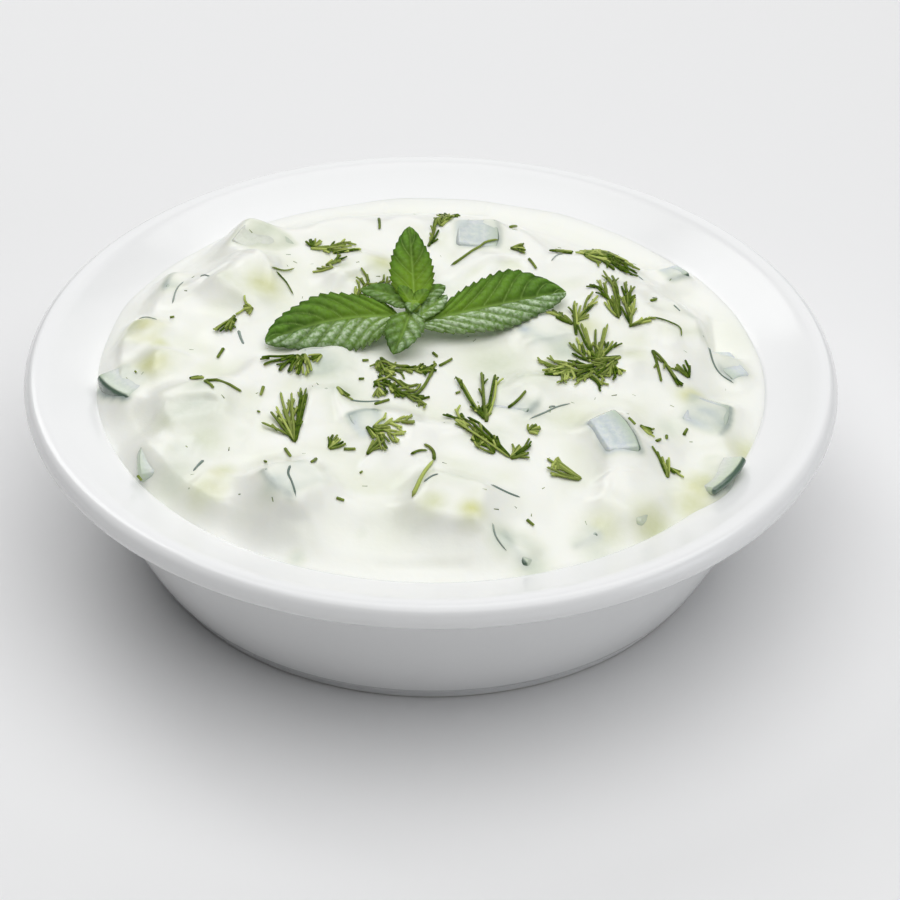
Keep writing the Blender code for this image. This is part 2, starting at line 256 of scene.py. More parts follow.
# Dill: where each sprig is held together, the way it points and its length, how far its blades fan out in
# degrees, how many blades it has, how far along its stem they spring, and how light its green is.
DILL_SPRIGS = (
    (-27.3, 38.4, 2, 7.6, 34, 5, 0.7, 0.3),
    (-26.6, 38.9, 96, 3.2, 80, 5, 0.0, 0.15),
    (-23.3, 39.2, 31, 5.0, 60, 5, 0.8, 0.35),
    (-22.4, 36.6, 2, 6.6, 16, 3, 0.0, 0.25),
    (-21.9, 26.6, 147, 4.9, 10, 2, 0.0, 0.15),
    (-21.9, 26.4, 109, 4.9, 12, 2, 0.0, 0.2),
    (-23.6, 31.2, 31, 4.2, 60, 5, 0.6, 0.25),
    (-16.6, 18.4, 62, 7.4, 70, 8, 0.9, 0.2),
    (-12.6, 23.6, 2, 6.6, 70, 8, 0.9, 0.6),
    (-42.0, 11.4, 250, 7.4, 26, 6, 0.3, 0.3),
    (-41.6, 10.4, 236, 6.2, 20, 3, 0.0, 0.15),
    (-38.3, 12.8, 205, 2.4, 110, 7, 0.2, 0.2),
    (-28.0, -4.6, 246, 8.6, 84, 9, 0.1, 0.12),
    (-26.4, -5.0, 268, 7.6, 40, 4, 0.0, 0.05),
    (-22.7, -5.7, 226, 3.6, 50, 5, 0.2, 0.2),
    (-26.7, -34.6, 92, 19.0, 14, 6, 0.1, 0.25),
    (-26.8, -34.4, 104, 15.6, 16, 5, 0.2, 0.3),
    (-27.2, -32.8, 122, 9.4, 16, 3, 0.0, 0.15),
    (-19.0, -17.6, 306, 3.4, 26, 3, 0.0, 0.1),
    (-10.8, -14.6, 276, 4.0, 44, 5, 0.2, 0.3),
    (-1.4, 39.2, 76, 11.0, 8, 4, 0.6, 0.2),
    (1.3, 46.0, 78, 10.0, 56, 12, 0.9, 0.3),
    (16.7, 38.8, -8, 4.6, 50, 6, 0.4, 0.35),
    (26.4, 39.7, 0, 4.8, 6, 2, 0.0, 0.1),
    (33.0, 34.6, 10, 11.4, 90, 12, 0.9, 0.3),
    (34.4, 34.0, 34, 9.6, 90, 12, 0.8, 0.35),
    (36.6, 33.4, 62, 8.6, 90, 10, 0.7, 0.3),
    (32.8, 35.2, 62, 7.6, 80, 9, 0.7, 0.45),
    (36.2, 33.2, 352, 7.4, 70, 9, 0.7, 0.05),
    (38.6, 34.2, 100, 6.4, 80, 8, 0.6, 0.15),
    (30.4, 35.8, 168, 5.6, 16, 3, 0.2, 0.1),
    (40.0, 12.6, 99, 16.4, 10, 3, 0.0, 0.05),
    (39.6, 12.0, 112, 11.6, 34, 7, 0.9, 0.1),
    (42.0, 9.6, 95, 13.0, 22, 8, 0.8, 0.15),
    (41.6, 9.4, 8, 5.0, 24, 4, 0.6, 0.3),
    (30.4, 5.4, 94, 13.6, 14, 4, 0.3, 0.25),
    (30.2, 10.0, 62, 8.6, 30, 5, 0.6, 0.3),
    (29.6, 9.4, 134, 6.6, 34, 5, 0.6, 0.2),
    (34.6, -4.6, 92, 17.0, 12, 6, 0.2, 0.25),
    (35.0, -4.0, 74, 10.4, 22, 5, 0.2, 0.3),
    (33.0, -3.8, 120, 8.0, 40, 5, 0.6, 0.2),
    (39.4, -4.6, 184, 15.4, 56, 13, 1.0, 0.35),
    (38.6, -6.4, 188, 14.0, 70, 12, 1.0, 0.25),
    (29.0, -6.6, 236, 7.6, 70, 8, 0.5, 0.2),
    (33.4, -6.0, 262, 8.0, 66, 8, 0.5, 0.2),
    (37.4, -6.0, 276, 6.4, 50, 6, 0.4, 0.25),
    (46.1, 0.4, 288, 10.8, 6, 2, 0.0, 0.05),
    (47.6, -2.3, 299, 11.2, 5, 2, 0.0, 0.05),
    (53.6, -6.1, 120, 3.8, 50, 4, 0.0, 0.1),
    (11.2, -27.0, 92, 20.0, 34, 6, 0.0, 0.3),
    (11.4, -27.6, 96, 7.0, 30, 6, 0.4, 0.2),
    (16.4, -37.6, 132, 15.4, 10, 3, 0.0, 0.1),
    (13.0, -36.6, 124, 14.4, 46, 11, 1.0, 0.25),
    (9.6, -35.0, 84, 5.0, 60, 6, 0.4, 0.2),
    (19.9, -30.6, 31, 3.0, 100, 8, 0.2, 0.25),
    (16.2, -37.6, 45, 5.4, 60, 8, 0.4, 0.15),
    (30.4, -41.8, 146, 8.2, 12, 3, 0.0, 0.3),
    (30.2, -41.9, 176, 7.4, 12, 3, 0.0, 0.25),
    (25.6, -37.2, 262, 3.4, 30, 3, 0.0, 0.35),
    (42.5, -25.7, -14, 3.4, 70, 6, 0.4, 0.2),
    (47.6, -39.4, 98, 6.8, 18, 4, 0.1, 0.2),
    (47.9, -36.0, 330, 2.6, 40, 3, 0.0, 0.2),
    (-11.4, -30.6, 6, 8.0, 70, 9, 0.9, 0.7),
    (-11.2, -31.4, 330, 6.8, 50, 7, 0.8, 0.6),
    (-11.0, -31.8, 300, 7.4, 20, 4, 0.3, 0.35),
    (-20.0, -36.0, 52, 4.4, 60, 6, 0.2, 0.2),
    (-12.6, -30.9, 300, 5.0, 26, 3, 0.2, 0.25),
    (-12.6, -38.6, 58, 5.4, 26, 4, 0.2, 0.2),
    (-49.6, -14.0, 14, 3.4, 50, 4, 0.2, 0.4),
    (-10.9, -5.0, 290, 6.0, 60, 8, 0.8, 0.3),
    (-9.6, -8.6, 356, 7.0, 70, 10, 1.0, 0.25),
    (-11.6, -12.4, 330, 5.4, 80, 9, 0.9, 0.1),
    (-8.0, -15.4, 330, 8.0, 56, 9, 0.9, 0.3),
    (-2.6, -9.0, 20, 4.2, 100, 8, 0.8, 0.1),
)

# Single blades: middle, turn and length.
DILL_BLADES = (
    (-12.4, 50.6, 275, 6.0),
    (-44.1, -2.2, 251, 3.6),
    (-42.3, -17.3, -15, 8.0),
    (-45.0, -17.9, -52, 4.0),
    (-13.7, -5.2, 18, 1.4),
    (-14.3, -11.7, 14, 1.2),
    (-34.4, -17.2, 262, 2.8),
    (-9.9, -19.8, 36, 3.7),
    (17.5, 48.0, 61, 3.6),
    (21.5, 32.3, 292, 4.2),
    (17.8, -20.6, 43, 5.6),
    (3.1, -5.4, 46, 4.3),
    (0.8, -2.3, 301, 2.1),
    (5.6, -16.6, 21, 1.1),
    (40.8, -26.3, 312, 2.2),
    (46.2, -28.5, 56, 1.9),
    (48.0, -26.0, 268, 1.4),
    (52.0, -23.2, 68, 1.8),
    (20.0, -55.2, 316, 1.9),
    (-28.0, -37.4, 293, 3.9),
    (-22.6, -42.2, 260, 4.1),
    (-15.8, -36.2, -10, 2.5),
    (-17.0, -52.4, -2, 1.6),
    (-57.3, -41.6, -50, 1.4),
    (47.4, 19.2, 42, 2.0),
    (-32.4, -39.7, 290, 1.0),
    (-13.3, -42.5, 41, 0.7),
    (-55.5, 12.6, 15, 1.0),
    (-61.1, -9.2, 300, 0.6),
    (-34.7, -23.9, 320, 0.7),
)

# Bent stems and threads: thickness, how light the green is, and the corners they pass.
DILL_STEMS = (
    (0.50, 0.75, ((-3.1, -53.7), (-1.2, -47.1), (1.1, -40.4))),
    (0.42, 0.15, ((1.1, -40.8), (1.0, -38.6), (0.2, -37.4), (-1.1, -36.9))),
    (0.34, 0.10, ((-3.7, -39.5), (-2.0, -38.7), (-0.2, -38.3))),
    (0.36, 0.25, ((3.6, 30.4), (7.2, 35.0), (11.0, 39.2), (14.3, 40.7))),
    (0.52, 0.12, ((-10.8, -3.7), (-9.1, -5.9), (-7.0, -7.3), (-4.3, -7.4))),
    (0.50, 0.02, ((-11.1, -10.7), (-8.7, -13.1), (-6.4, -16.2), (-3.6, -17.3), (-1.4, -14.5), (0.4, -8.7))),
    (0.42, 0.25, ((-9.8, -10.2), (-7.4, -12.2), (-5.2, -15.0), (-3.2, -15.8), (-1.9, -13.4))),
    (0.44, 0.15, ((-6.9, -12.2), (-4.6, -14.4), (-2.3, -13.7))),
    (0.46, 0.05, ((-2.4, -9.8), (-1.0, -8.0), (0.3, -8.5), (-0.2, -11.6))),
    (0.26, 0.30, ((-35.1, 25.7), (-32.4, 27.1), (-30.2, 29.6))),
    (0.22, 0.00, ((46.4, 10.7), (50.0, 9.3), (52.3, 8.1), (52.6, 5.5))),
    (0.22, 0.00, ((-34.0, 25.5), (-31.8, 23.2), (-29.9, 19.2))),
)

# Threads and slivers of skin just under the cream: thickness, how much skin, and the corners they pass.
SUNK_THREADS = (
    (0.45, 0.6, ((-40.9, 6.4), (-40.2, 3.2), (-39.3, 0.3))),
    (0.22, 0.3, ((-62.8, 13.5), (-60.6, 12.4), (-58.4, 10.1))),
    (0.22, 0.3, ((-56.0, 18.3), (-55.4, 21.6), (-54.0, 24.9))),
    (0.24, 0.3, ((-50.4, 24.8), (-49.4, 24.6), (-48.2, 23.8))),
    (0.22, 0.3, ((25.6, 32.6), (26.8, 34.4), (28.3, 35.5))),
    (0.30, 0.8, ((-0.9, -49.5), (0.6, -48.4), (2.0, -47.8))),
    (0.42, 0.9, ((12.0, -47.9), (14.8, -48.2), (18.4, -48.5))),
    (0.28, 0.5, ((24.1, -21.6), (24.8, -21.2), (25.5, -21.1))),
    (0.34, 0.6, ((-44.8, -37.7), (-45.6, -39.2), (-46.7, -41.1))),
    (0.34, 0.9, ((-16.4, -20.4), (-13.4, -19.4), (-9.8, -18.9))),
    (0.26, 0.5, ((20.0, -26.4), (24.6, -22.0), (28.6, -19.4))),
    (0.28, 1.0, ((-27.0, -45.8), (-27.3, -48.7), (-26.5, -51.3), (-25.4, -55.5))),
    (0.24, 0.9, ((58.4, 6.5), (59.4, 2.3), (61.0, -1.0), (63.4, -3.1))),
    (0.22, 0.5, ((51.6, 18.4), (52.4, 17.0), (52.9, 15.8))),
    (0.20, 0.6, ((47.0, 20.6), (48.4, 21.0))),
    (0.22, 0.4, ((12.6, -58.2), (13.2, -60.6), (15.4, -63.0))),
    (0.24, 0.4, ((40.6, 36.4), (43.6, 33.6), (45.8, 30.2))),
)

# Soft stains that pieces deeper in the dip leave in the cream, and some painted shade under the mint's right
# leaf and in hollows: x, y, radius, green and yellow.
STAINS_AND_SHADE = (
    (-36.5, 20.5, 5.0, 0.25, 0.95),
    (-41.5, 16.5, 4.0, 0.30, 0.35),
    (-61.5, 8.0, 4.4, 0.25, 0.95),
    (-57.0, 0.5, 2.4, 0.55, 0.85),
    (-58.0, -8.0, 5.0, 0.25, 0.90),
    (-52.5, -26.0, 4.0, 0.35, 0.60),
    (-46.5, -24.5, 7.0, 0.65, 0.20),
    (-45.0, -31.5, 4.6, 0.70, 0.45),
    (-50.0, -42.0, 6.0, 0.55, 0.15),
    (-43.8, -46.5, 4.4, 0.25, 0.75),
    (-40.6, -41.0, 2.8, 0.25, 0.75),
    (-29.5, -52.0, 3.2, 0.75, 0.00),
    (-24.0, -47.0, 3.4, 0.45, 0.00),
    (-25.0, -63.5, 1.8, 0.60, 0.00),
    (-32.0, -27.5, 3.0, 0.20, 0.55),
    (-22.5, -8.5, 6.0, 0.95, 0.20),
    (-17.5, -17.0, 5.0, 0.65, 0.20),
    (-11.0, 31.0, 4.0, 0.20, 0.85),
    (13.0, -4.5, 8.0, 0.75, 0.35),
    (28.0, 0.5, 4.6, 0.90, 0.15),
    (20.5, -11.5, 5.5, 0.65, 0.30),
    (32.0, 9.0, 4.0, 0.20, 0.80),
    (42.0, -2.0, 4.0, 0.25, 0.60),
    (29.0, -25.0, 6.0, 0.20, 0.60),
    (54.0, -12.6, 3.4, 0.80, 1.00),
    (65.0, -26.0, 5.0, 0.25, 0.80),
    (66.0, 16.0, 8.0, 0.10, 0.25),
    (55.5, 15.5, 2.2, 0.50, 0.00),
    (55.0, -40.5, 5.0, 0.80, 1.00),
    (52.5, -45.5, 5.0, 0.70, 0.80),
    (44.5, -52.5, 5.0, 0.40, 0.90),
    (34.0, -55.0, 4.6, 0.35, 0.75),
    (15.0, -60.5, 3.2, 0.90, 0.10),
    (20.5, -65.0, 3.6, 0.85, 0.20),
    (0.8, -55.0, 3.2, 0.25, 0.80),
    (8.4, -57.0, 2.8, 0.55, 1.00),
    (-6.0, -57.0, 7.0, 0.15, 0.30),
    (-12.6, -58.6, 1.6, 0.35, 0.00),
    (-38.0, -29.8, 2.0, 0.30, 0.00),
    (13.2, -15.8, 5.0, 0.45, 0.10),
    (20.2, -25.9, 4.4, 0.45, 0.10),
    (13.1, -31.3, 4.0, 0.45, 0.10),
    (6.2, -46.3, 5.0, 0.50, 0.10),
    (48.7, -22.6, 3.6, 0.60, 0.10),
    (46.5, -53.8, 4.5, 0.50, 0.30),
    (33.0, -60.0, 3.6, 0.60, 0.10),
    (-0.6, -47.5, 4.0, 0.50, 0.40),
    (-49.8, -34.8, 4.0, 0.45, 0.10),
)

# Smaller swellings at random places: how many, and how far from the middle they may lie.
HIDDEN_PIECES = 46
HIDDEN_RADIUS = 60.0

# Bigger blocks under the cream: x and y of the middle, the way their high end points, half their length that
# way and half across, and how far they lift the cream there.
BLOCKS = (
    (-43.0, 26.0, 80, 9.0, 8.0, 3.6),
    (-49.0, -27.0, 100, 8.0, 9.0, 3.2),
    (-54.0, -41.0, 150, 6.0, 6.0, 2.2),
    (-27.0, -51.0, 95, 9.0, 6.0, 1.6),
    (-22.0, -25.0, 85, 10.0, 5.0, 2.6),
    (-35.0, -11.0, 60, 6.0, 5.0, 1.8),
    (-57.0, 5.0, 150, 6.0, 6.0, 1.8),
    (-43.0, -50.0, 210, 6.0, 5.0, 1.6),
    (9.0, 30.0, 60, 8.0, 4.5, 2.8),
    (-16.0, 29.0, 60, 6.0, 7.0, 2.0),
    (30.0, 32.0, 100, 6.0, 5.0, 1.8),
    (43.0, 26.0, 60, 8.0, 8.0, 2.4),
    (40.0, 37.0, 50, 8.5, 8.5, 4.2),
    (51.0, 13.0, 30, 8.0, 7.0, 2.2),
    (20.0, 8.0, 80, 6.0, 6.0, 2.2),
    (38.0, -53.0, 100, 9.0, 9.0, 2.6),
    (25.0, -34.0, 90, 7.0, 6.0, 1.6),
    (16.0, -61.0, 90, 7.0, 7.0, 1.8),
    (44.0, -6.0, 90, 7.0, 8.0, 1.6),
    (2.0, -34.0, 110, 6.0, 6.0, 1.4),
)

# Places along the edge that stay clear: the height under each and its two corners seen from above.
EDGE_SPACES = (
    (37.3, (59.8, 7.0), (66.8, 22.7)),
    (37.3, (-10.0, -69.9), (8.0, -65.5)),
    (37.2, (-12.0, 64.2), (12.0, 69.5)),
)
SPACE_BANK = 2.2

# Folds that the spoon left: how high each stands and the corners it passes, sharp on the right of its way.
FOLDS = (
    (0.55, ((42.3, -56.7), (44.8, -52.6), (46.4, -47.9), (46.8, -42.5))),
    (0.40, ((45.8, -41.8), (41.1, -41.0), (36.3, -42.1), (32.7, -43.9))),
    (0.45, ((-19.8, -14.2), (-19.2, -20.8), (-17.4, -29.0))),
    (0.50, ((-3.6, -27.2), (-8.1, -30.7), (-11.3, -36.8), (-13.7, -41.8))),
    (0.50, ((-52.9, -20.9), (-56.6, -25.2), (-59.2, -30.8), (-60.5, -36.0))),
    (0.45, ((-50.3, -48.0), (-46.9, -46.0), (-44.5, -43.4), (-43.0, -39.9))),
    (0.40, ((-53.7, -21.6), (-50.1, -20.3), (-45.6, -20.5), (-40.3, -23.5))),
    (0.60, ((-44.4, 31.2), (-42.4, 33.6), (-39.2, 31.3), (-35.4, 26.7), (-35.4, 19.3))),
    (0.60, ((3.4, 23.7), (7.2, 28.7), (12.0, 32.9), (17.7, 35.1), (21.6, 30.7))),
    (0.50, ((-22.2, 20.6), (-19.1, 24.3), (-15.5, 28.0), (-11.3, 30.6))),
    (0.50, ((-55.3, 19.5), (-51.2, 22.9), (-47.5, 26.1), (-43.8, 28.8))),
    (0.35, ((8.3, -60.6), (4.8, -57.9), (0.5, -57.4), (-3.3, -59.3))),
    (0.45, ((58.9, -31.3), (61.9, -26.1), (64.1, -20.5))),
    (0.30, ((2.1, -32.5), (8.1, -29.8), (14.2, -30.8))),
)
FOLD_SHARP = 0.5
FOLD_GENTLE = 2.6

# Flecks of chopped dill: how many, and how far from the middle they may lie.
CRUMBS = 90
CRUMB_RADIUS = 64.0

# Camera in millimetres and degrees; then each light's name, place in metres, size, power and colour.
CAMERA_PLACE = (4.17, -497.77, 377.59)
CAMERA_ELEVATION = 35.88
CAMERA_ROLL = 0.92
CAMERA_LENS = 114.5
CAMERA_SENSOR = 36.0
LIGHT_AIM = (0, 0, 0.03)
LIGHTS = (
    ("overhead", (0.13, -0.10, 1.24), 2.0, 18.9, (1, 1, 1)),
    ("back_wide", (0.05, 1.2, 0.62), 1.1, 2.6, (1, 1, 1)),
    ("back_left", (-0.45, 0.65, 0.75), 0.5, 1.7, (1, 1, 1)),
    ("low_right", (0.9, -0.45, 0.26), 0.5, 0.9, (0.92, 0.95, 1.0)),
)
ROOM_COLOUR = (0.93, 0.95, 1.0, 1)
ROOM_STRENGTH = 0.07
TABLE_HALF = 3000


def clamp(value):
    """A number held between 0 and 1."""
    return min(max(value, 0.0), 1.0)


def bmesh_to_object(name, bm, material):
    """Turns a mesh in millimetres into a smooth object in metres."""
    bmesh.ops.scale(bm, vec=(MM, MM, MM), verts=bm.verts)
    mesh = bpy.data.meshes.new(name)
    bm.to_mesh(mesh)
    bm.free()
    mesh.materials.append(material)
    mesh.shade_smooth()
    piece = bpy.data.objects.new(name, mesh)
    bpy.context.scene.collection.objects.link(piece)
    return piece


def store(piece, name, kind, values):
    """Keeps a value for every point of a piece under a name."""
    layer = piece.data.attributes.new(name, kind, "POINT")
    field = {"FLOAT_COLOR": "color", "FLOAT_VECTOR": "vector", "FLOAT": "value"}[kind]
    layer.data.foreach_set(field, np.asarray(values).astype(np.float32).ravel())


def stands_for(piece, node):
    """Lets a finished piece take the place of a node of the model."""
    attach(piece, "root")
    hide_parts(node)


# --- Materials -------------------------------------------------------------------------------------------


def new_finish(name, roughness, **sockets):
    """A material with its shader's constant values set, and its nodes and shader to build on."""
    material = bpy.data.materials.new(name)
    material.use_nodes = True
    shader = material.node_tree.nodes["Principled BSDF"]
    shader.inputs["Roughness"].default_value = roughness
    for socket, value in sockets.items():
        shader.inputs[socket.replace("_", " ")].default_value = value
    return material, shader


def add_node(material, kind, settings=None, **inputs):
    """A node with settings and inputs, numbered ones as i0, i1 and so on. An input may be an output."""
    node = material.node_tree.nodes.new(kind)
    for setting, value in (settings or {}).items():
        setattr(node, setting, value)
    for socket, value in inputs.items():
        numbered = socket[0] == "i" and socket[1:].isdigit()
        target = node.inputs[int(socket[1:]) if numbered else socket]
        if isinstance(value, bpy.types.NodeSocket):
            material.node_tree.links.new(value, target)
        else:
            target.default_value = value
    return node


def link(material, output, socket):
    """Joins an output to a shader's socket."""
    material.node_tree.links.new(output, socket)


def object_place(material):
    """Where a point is on the object, in metres."""
    return add_node(material, "ShaderNodeTexCoord").outputs["Object"]


def attribute(material, name):
    """A value stored on the mesh."""
    return add_node(material, "ShaderNodeAttribute", {"attribute_name": name})


def cloud(material, size, detail=3.0):
    """Soft noise whose patches are about the given size in metres."""
    place = object_place(material)
    return add_node(
        material, "ShaderNodeTexNoise", Vector=place, Scale=1 / size, Detail=detail, Roughness=0.5,
    ).outputs["Fac"]


def level(material, value, low, high, to_low=0.0, to_high=1.0):
    """A value moved from one range to another and held there."""
    node = add_node(
        material, "ShaderNodeMapRange", {"clamp": True},
        Value=value, i1=low, i2=high, i3=to_low, i4=to_high,
    )
    return node.outputs["Result"]


def blend(material, amount, first, second):
    """One colour mixed into another."""
    node = add_node(material, "ShaderNodeMix", {"data_type": "RGBA"})
    sockets = (node.inputs["Factor"], node.inputs[6], node.inputs[7])
    for socket, value in zip(sockets, (amount, first, second)):
        if isinstance(value, bpy.types.NodeSocket):
            link(material, value, socket)
        elif isinstance(value, tuple):
            socket.default_value = (*value, 1)
        else:
            socket.default_value = value
    return node.outputs[2]


def maths(material, operation, first, second=0.0):
    """Two numbers joined by one sum."""
    return add_node(material, "ShaderNodeMath", {"operation": operation}, i0=first, i1=second).outputs[0]


def raise_surface(material, shader, height, strength, distance):
    """Fine relief on a surface."""
    bump = add_node(material, "ShaderNodeBump", Height=height, Strength=strength, Distance=distance)
    link(material, bump.outputs["Normal"], shader.inputs["Normal"])


def porcelain_finish():
    """White glaze with a faint wave, and bare clay under the foot."""
    material, shader = new_finish("white_porcelain", 0.24, Coat_Weight=0.3, Coat_Roughness=0.12)
    patches = cloud(material, 0.03)
    glaze = blend(material, patches, (0.85, 0.856, 0.858), (0.872, 0.876, 0.877))
    height = add_node(material, "ShaderNodeSeparateXYZ", Vector=object_place(material)).outputs["Z"]
    bare = level(material, height, 0.0007, 0.0002)
    link(material, blend(material, bare, glaze, (0.62, 0.60, 0.56)), shader.inputs["Base Color"])
    gloss = level(material, cloud(material, 0.012), 0.3, 0.7, 0.17, 0.24)
    dull = maths(material, "MULTIPLY", bare, 0.5)
    link(material, maths(material, "ADD", gloss, dull), shader.inputs["Roughness"])
    waves = cloud(material, 0.009, detail=2.0)
    raise_surface(material, shader, waves, 0.12, 0.0006)
    return material


def cream_finish():
    """Thick strained yoghurt: dense and soft, wet enough to shine, tinted over cucumber, with painted shade
    in its hollows and on its slopes.
    """
    material, shader = new_finish(
        "strained_yoghurt", 0.3, Subsurface_Weight=0.3, Subsurface_Scale=0.002,
        Subsurface_Radius=(1.0, 0.92, 0.75), Coat_Weight=0.35, Coat_Roughness=0.14,
    )
    patches = cloud(material, 0.016)
    cream = blend(material, patches, (0.900, 0.912, 0.842), (0.925, 0.932, 0.874))
    # Stains and painted shade stored on the dip, laid over the cream's colour.
    stain_and_shade = attribute(material, "stain_and_shade")
    grain = level(material, cloud(material, 0.0014, detail=4.0), 0.3, 0.7, 0.9, 1.08)
    amount = maths(material, "MULTIPLY", stain_and_shade.outputs["Alpha"], grain)
    link(material, blend(material, amount, cream, stain_and_shade.outputs["Color"]), shader.inputs["Base Color"])
    gloss = level(material, cloud(material, 0.006), 0.3, 0.7, 0.29, 0.42)
    link(material, gloss, shader.inputs["Roughness"])
    fine_grit = maths(material, "MULTIPLY", cloud(material, 0.0009, detail=2.0), 0.22)
    grit = maths(material, "ADD", cloud(material, 0.0035), fine_grit)
    raise_surface(material, shader, grit, 0.14, 0.0006)
    return material


def cucumber_finish():
    """Wet cucumber: pale glassy flesh, greener and firmer under a dark skin, with seeds at the core."""
    material, shader = new_finish(
        "wet_cucumber", 0.16, Subsurface_Weight=0.3, Subsurface_Scale=0.003,
        Subsurface_Radius=(0.8, 1.0, 0.5), Coat_Weight=0.5, Coat_Roughness=0.05,
    )
    slice_place = attribute(material, "in_slice").outputs["Vector"]
    tone = attribute(material, "flesh").outputs["Vector"]
    tone = add_node(material, "ShaderNodeSeparateXYZ", Vector=tone)
    flat = add_node(
        material, "ShaderNodeVectorMath", {"operation": "MULTIPLY"}, i0=slice_place, i1=(1, 1, 0),
    ).outputs[0]
    away = add_node(material, "ShaderNodeVectorMath", {"operation": "LENGTH"}, i0=flat).outputs["Value"]
    fibres = add_node(
        material, "ShaderNodeTexNoise", Vector=slice_place, Scale=0.9, Detail=4.0, Roughness=0.6,
    ).outputs["Fac"]
    pale = blend(material, tone.outputs["X"], (0.72, 0.75, 0.65), (0.58, 0.65, 0.51))
    pale = blend(material, tone.outputs["Y"], pale, (0.74, 0.74, 0.50))
    pale = blend(material, tone.outputs["Z"], pale, (0.58, 0.65, 0.67))
    mottled = blend(material, level(material, fibres, 0.35, 0.65, 0.0, 0.5), pale, (0.80, 0.83, 0.74))
    rind = level(material, away, RIND_RADIUS, RIND_RADIUS + RIND_WIDTH, 0.0, 0.6)
    under_skin = blend(material, rind, mottled, (0.46, 0.56, 0.38))
    peel = attribute(material, "peel").outputs["Fac"]
    skin = maths(material, "MULTIPLY", level(material, away, 20.3, 20.6), peel)
    link(material, blend(material, skin, under_skin, (0.10, 0.155, 0.115)), shader.inputs["Base Color"])
    link(material, level(material, fibres, 0.3, 0.7, 0.12, 0.26), shader.inputs["Roughness"])
    raise_surface(material, shader, fibres, 0.25, 0.0004)
    return material


def mint_finish():
    """Mint: deep green between pale veins, painted darker in the furrows and lighter on the puffs, with a
    silvery painted sheen on one half and a pale downy underside.
    """
    material, shader = new_finish(
        "mint_leaf", 0.45, Specular_IOR_Level=0.03, Subsurface_Weight=0.08, Subsurface_Scale=0.001,
        Subsurface_Radius=(0.4, 1.0, 0.2),
    )
    leaf = attribute(material, "leaf").outputs["Vector"]
    leaf = add_node(material, "ShaderNodeSeparateXYZ", Vector=leaf)
    fresh, vein, sheen_and_down = (leaf.outputs[axis] for axis in "XYZ")
    patches = level(material, cloud(material, 0.0022, detail=4.0), 0.3, 0.7, 0.0, 0.4)
    # Painted shade: darker green in the furrows by the veins, lighter on the puffs between them.
    puff = maths(material, "MULTIPLY", attribute(material, "puff").outputs["Fac"], 0.72)
    lighter = maths(material, "ADD", patches, puff)
    green = blend(material, lighter, (0.004, 0.022, 0.001), (0.120, 0.260, 0.022))
    green = blend(material, fresh, green, (0.26, 0.42, 0.02))
    speckle = level(material, cloud(material, 0.0008, detail=3.0), 0.38, 0.62, 0.25, 1.15)
    # Paler where the leaf is downy underneath, and a painted sheen on one half of its top.
    down = maths(material, "MULTIPLY", sheen_and_down, speckle)
    green = blend(material, down, green, (0.60, 0.72, 0.52))
    green = blend(material, maths(material, "MULTIPLY", vein, 0.7), green, (0.30, 0.48, 0.11))
    link(material, green, shader.inputs["Base Color"])
    link(material, level(material, patches, 0, 0.5, 0.36, 0.52), shader.inputs["Roughness"])
    cells = add_node(
        material, "ShaderNodeTexVoronoi", {"feature": "SMOOTH_F1"}, Vector=object_place(material),
        Scale=900.0,
    )
    raise_surface(material, shader, cells.outputs["Distance"], 0.5, 0.0004)
    return material


def dill_finish():
    """Chopped dill: deep green blades, darkened towards their bases with painted shade, the tips and stems
    lighter.
    """
    material, shader = new_finish(
        "fresh_dill", 0.34, Specular_IOR_Level=0.05, Subsurface_Weight=0.1, Subsurface_Scale=0.0008,
        Subsurface_Radius=(0.5, 1.0, 0.2),
    )
    tone = attribute(material, "tone").outputs["Fac"]
    streaks = cloud(material, 0.0009, detail=3.0)
    dark = blend(material, level(material, streaks, 0.3, 0.7), (0.014, 0.042, 0.001), (0.105, 0.175, 0.008))
    green = blend(material, tone, dark, (0.50, 0.58, 0.16))
    link(material, green, shader.inputs["Base Color"])
    link(material, level(material, streaks, 0.3, 0.7, 0.30, 0.45), shader.inputs["Roughness"])
    raise_surface(material, shader, streaks, 0.3, 0.0002)
    return material


def sunk_finish():
    """Herb threads and slivers of skin just under the cream, which dulls them to a bluish grey."""
    material, shader = new_finish("creamed_herbs", 0.35, Subsurface_Weight=0.1, Subsurface_Scale=0.001)
    patches = level(material, cloud(material, 0.0016), 0.35, 0.65)
    skin = attribute(material, "tone").outputs["Fac"]
    milky = blend(material, patches, (0.30, 0.37, 0.32), (0.52, 0.58, 0.52))
    link(material, blend(material, skin, milky, (0.13, 0.19, 0.16)), shader.inputs["Base Color"])
    raise_surface(material, shader, patches, 0.2, 0.0002)
    return material


def table_finish():
    """A plain pale table."""
    material, shader = new_finish("pale_table", 0.7)
    pale = blend(material, cloud(material, 0.4), (0.82, 0.82, 0.825), (0.84, 0.84, 0.84))
    link(material, pale, shader.inputs["Base Color"])
    return material


# --- Bowl ------------------------------------------------------------------------------------------------


def arc(centre, radius, start, end, steps):
    """Points on an arc in the profile's plane, between two angles in degrees."""
    angles = (math.radians(start + (end - start) * i / steps) for i in range(steps + 1))
    return [(centre[0] + radius * math.cos(a), centre[1] + radius * math.sin(a)) for a in angles]


def wall_radius(height):
    """Outer radius of the bowl's side, which is steepest at the neck."""
    share = clamp((height - WAIST_HEIGHT) / (NECK_HEIGHT - WAIST_HEIGHT))
    return WAIST_RADIUS + (NECK_RADIUS - WAIST_RADIUS) * (1 - (1 - share) ** WALL_POWER)


